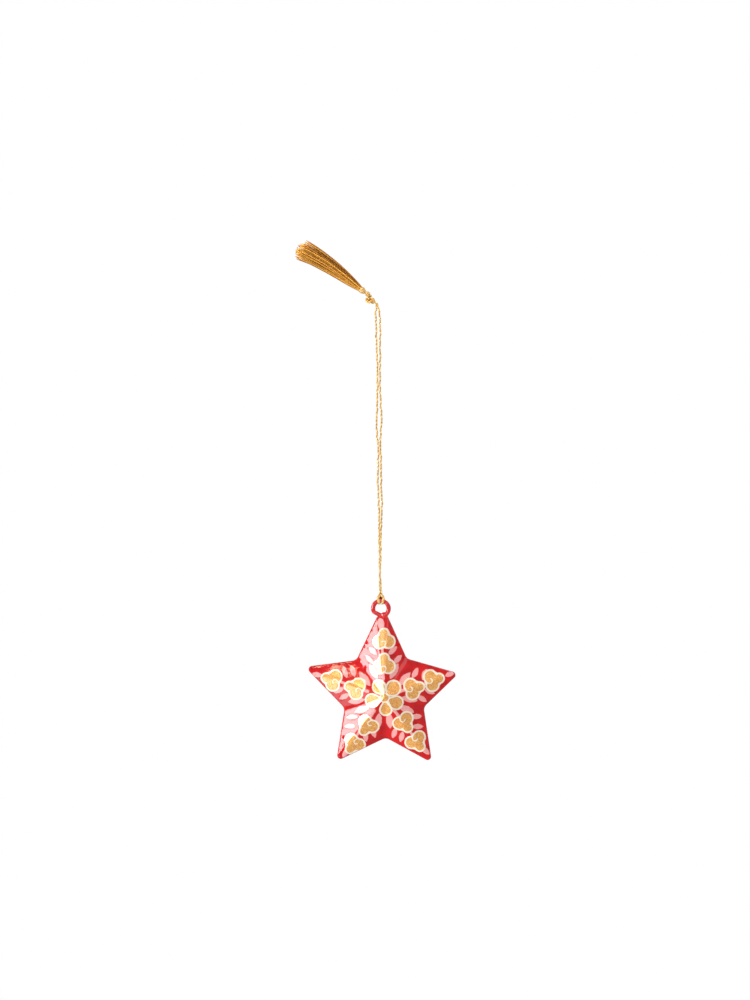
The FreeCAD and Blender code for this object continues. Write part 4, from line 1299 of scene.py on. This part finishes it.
@dataclass(frozen=True)
class Tassel:
    """The wound collar and the fringe, which turn about the root at the knot."""

    angle: float = 145.4
    root_start: float = 0.85
    root_radius: float = 0.5
    root_threads: int = 7
    root_thread: float = 0.3
    root_overlap: float = 0.8
    root_places: int = 9
    root_tones: Place = (0.3, 0.4, 0.5)
    collar_start: float = 1.7
    collar_length: float = 2.7
    collar_radius: float = 1.32
    collar_swell: float = 0.14
    drawn_in: float = 0.7
    drawn_share: float = 0.4
    wind_radius: float = 0.17
    wind_turns: int = 9
    wind_places: int = 420
    wind_tone: float = 0.5
    fringe_start: float = 2.4
    fringe_end: float = 41.2
    rounding: float = 2.3
    raggedness: float = 2.8
    ragged_power: float = 1.6
    bow: float = 1.1
    bow_power: float = 1.2
    flatness: float = 0.12
    stray: float = 0.55
    bearing_stray: float = 0.25
    reach_stray: float = 0.08
    spread_power: float = 0.7
    wave_sizes: Pair = (0.15, 0.65)
    wave_rates: Pair = (3.2, 2.6)
    tones: Pair = (-0.25, 1.05)
    thread_radius: float = 0.2
    radius_shares: Pair = (0.8, 1.15)
    thread_sides: int = 6
    thread_count: int = 130
    thread_places: int = 22
    thread_end: float = 0.6
    neck_radius: float = 1.08
    tip_radius: float = 5.3
    seed: int = 7

    def placed(self, *local: Array) -> Array:
        """Turn distances out along the tassel, across it and to the back into places."""
        stacked = np.stack(np.broadcast_arrays(*local), axis=1)
        return stacked @ leaning_axes(self.angle) + np.array(TASSEL_ROOT)

    def collar(self) -> Piece:
        """Wind a thread round the collar, a helix whose radius swells by a half sine.

        Its first turns are drawn in toward the knot. Seven short threads, a seventh of a turn
        apart, run from the knot up into it.

        Returns:
            The collar.
        """
        share = np.linspace(0, 1, self.wind_places)
        turn = share * TURN * self.wind_turns
        reach = self.collar_radius + self.collar_swell * np.sin(math.pi * share)
        drawn = smooth_step(share, 0.0, self.drawn_share)
        reach = reach * (self.drawn_in + (1 - self.drawn_in) * drawn)
        along = self.collar_start + self.wind_radius
        along = along + (self.collar_length - 2 * self.wind_radius) * share
        line = self.placed(along, reach * np.cos(turn), reach * np.sin(turn))
        axes = leaning_axes(self.angle)
        shape = Shape()
        shape.tube(line, self.wind_radius, THREAD_SIDES, axes[0], self.wind_tone)
        root_end = self.collar_start + self.root_overlap
        along = np.linspace(self.root_start, root_end, self.root_places)
        for i in range(self.root_threads):
            bearing = TURN * i / self.root_threads
            across = self.root_radius * math.cos(bearing)
            line = self.placed(along, across, self.root_radius * math.sin(bearing))
            tone = self.root_tones[i % len(self.root_tones)]
            shape.tube(line, self.root_thread, THREAD_SIDES, axes[1], tone)
        return shape.finish("collar_winding")

    def fringe(self) -> Piece:
        """Spread the fringe's threads from the collar.

        Thread i starts at a place of a sunflower pattern, radius root(i / n), and keeps its
        direction while its radius grows from the neck's to the tip's by a power of the way out,
        with a slow wave of its own. The middle ones are longest, and all bow by a half sine.

        Returns:
            The fringe.
        """
        spin = np.random.default_rng(self.seed)
        shape = Shape()
        back_axis = leaning_axes(self.angle)[2]
        collar_end = self.collar_start + self.collar_length
        share = np.linspace(0, 1, self.thread_places)
        bowed = -self.bow * np.sin(math.pi * share**self.bow_power)
        taper = np.ones(self.thread_places)
        taper[-1] = self.thread_end
        for i in range(self.thread_count):
            reach = math.sqrt((i + 0.5) / self.thread_count)
            bearing = i * GOLDEN_ANGLE + spin.uniform(-self.bearing_stray, self.bearing_stray)
            outward = reach * (1 + spin.uniform(-self.reach_stray, self.reach_stray))
            ragged = self.raggedness * spin.uniform() ** self.ragged_power
            length = self.fringe_end - self.rounding * reach**2 - ragged
            along = self.fringe_start + (length - self.fringe_start) * share
            way = np.clip((along - collar_end) / (self.fringe_end - collar_end), 0, 1)
            way = way**self.spread_power
            grown = outward * (self.neck_radius + (self.tip_radius - self.neck_radius) * way)
            wave = way * spin.uniform(*self.wave_sizes)
            phase = spin.uniform(0, TURN)
            side = grown * math.cos(bearing) + wave * np.sin(self.wave_rates[0] * share + phase)
            back = grown * math.sin(bearing) * (1 - self.flatness * way)
            back = back + wave * np.cos(self.wave_rates[1] * share + phase)
            side = side + spin.uniform(-1, 1) * self.stray * way**3 + bowed
            radii = self.thread_radius * spin.uniform(*self.radius_shares) * taper
            tone = float(spin.uniform(*self.tones))
            line = self.placed(along, side, back)
            shape.tube(line, radii, self.thread_sides, back_axis, tone)
        return shape.finish("fringe_threads")

    def build(self) -> list[Piece]:
        """Make the collar and the fringe."""
        return [
            dress(self.collar(), PALE, "tassel", "tassel_binding"),
            dress(self.fringe(), OCHRE, "tassel", "tassel_fringe"),
        ]


@dataclass(frozen=True)
class Lamp:
    """A flat soft lamp, placed in metres, that faces the star.

    Its radiance is how bright its face is, where a lit white wall is 1. A lamp that shows in gloss
    only stands for a thin card before another lamp.
    """

    name: str
    place: Place
    size: Pair
    radiance: float
    gloss_only: bool = False
    tint: Place = (1.0, 1.0, 1.0)

    def hang(self) -> None:
        """Hang the lamp."""
        data = bpy.data.lights.new(self.name, "AREA")
        data.shape = "RECTANGLE"
        data.size, data.size_y = self.size
        data.energy = self.radiance * math.pi * self.size[0] * self.size[1]
        data.color = self.tint
        lamp = put_in_scene(self.name, data)
        lamp.location = self.place
        lamp.visible_diffuse = not self.gloss_only
        way = Vector((0.0, 0.0, STAR_Z * MM)) - Vector(self.place)
        lamp.rotation_euler = way.to_track_quat("-Z", "Y").to_euler()


@dataclass(frozen=True)
class Studio:
    """A pale sweep, soft light and the photograph's camera."""

    camera_place: Place = (-0.0024, -0.9, -0.0931)
    camera_roll: float = 0.877
    lens: float = 67.3
    floor_height: float = -1200.0
    floor_half: float = 2500.0
    world_strength: float = 0.4
    lamps: tuple[Lamp, ...] = (
        Lamp("key_lamp", (-0.69, -0.345, 0.005), (0.25, 0.46), 9.0),
        Lamp("key_card", (-0.68, -0.34, 0.002), (0.25, 0.46), 20.0, gloss_only=True),
        Lamp("front_lamp", (-0.1, -1.35, 0.25), (0.7, 0.7), 4.2),
        Lamp("side_lamp", (0.45, -0.4, 0.2), (0.3, 0.3), 3.0),
        Lamp("back_lamp", (0.4, 1.2, 0.3), (0.6, 0.6), 5.0),
        Lamp("high_card", (-0.076, -0.32, 0.462), (0.3, 0.11), 30.0, True, (1.0, 0.72, 0.5)),
        Lamp("low_lamp", (-0.36, -0.28, -0.56), (0.3, 0.2), 5.0),
    )

    def camera(self) -> None:
        """Set the camera level, looking along +Y, with the photograph's small roll."""
        data = bpy.data.cameras.new("camera")
        data.lens = self.lens
        data.sensor_width = 36.0
        data.clip_start = 0.01
        data.clip_end = 50.0
        camera = put_in_scene("camera", data)
        level = Matrix.Rotation(math.radians(90.0), 4, "X")
        roll = Matrix.Rotation(math.radians(-self.camera_roll), 4, "Z")
        camera.matrix_world = Matrix.Translation(Vector(self.camera_place)) @ level @ roll
        bpy.context.scene.camera = camera

    def world(self) -> None:
        """Light evenly all round, and show white to the camera and in reflections."""
        world = bpy.data.worlds.new("world")
        bpy.context.scene.world = world
        world.use_nodes = True
        nodes = Nodes(world.node_tree)
        strength = nodes.shown() * (1 - self.world_strength) + self.world_strength
        background = nodes.add("Background", {"Color": WHITE, "Strength": strength})
        nodes.add("OutputWorld", {"Surface": background.outputs[0]})

    def floor(self) -> None:
        """Lay a pale floor well below the ornament, which catches its soft shadow."""
        corners = np.array(((-1, -1, 0), (1, -1, 0), (1, 1, 0), (-1, 1, 0))) * self.floor_half
        points = corners + np.array((0.0, 0.0, self.floor_height))
        floor = make_mesh("floor", points, [np.array(((0, 1, 2, 3),))], {})
        floor.data.materials.append(FLOOR.make())

    def build(self) -> None:
        """Set up the camera, the world, the floor and the lamps."""
        bpy.context.scene.view_settings.view_transform = "Standard"
        self.camera()
        self.world()
        self.floor()
        for lamp in self.lamps:
            lamp.hang()


def main() -> None:
    """Build the ornament's pieces in order and report each one."""
    logging.basicConfig(level=logging.INFO, format="%(message)s")
    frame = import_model()
    Studio().build()
    star = build_star(frame["nodes"])
    on_cord = [*Hitch().build(), *TopKnot().build(), *Tassel().build()]
    strands = HangingThread().build(on_cord)
    for piece in (*star, *on_cord, *strands):
        LOG.info("%s has %d faces", piece.name, len(piece.data.polygons))


if __name__ == "__main__":
    main()
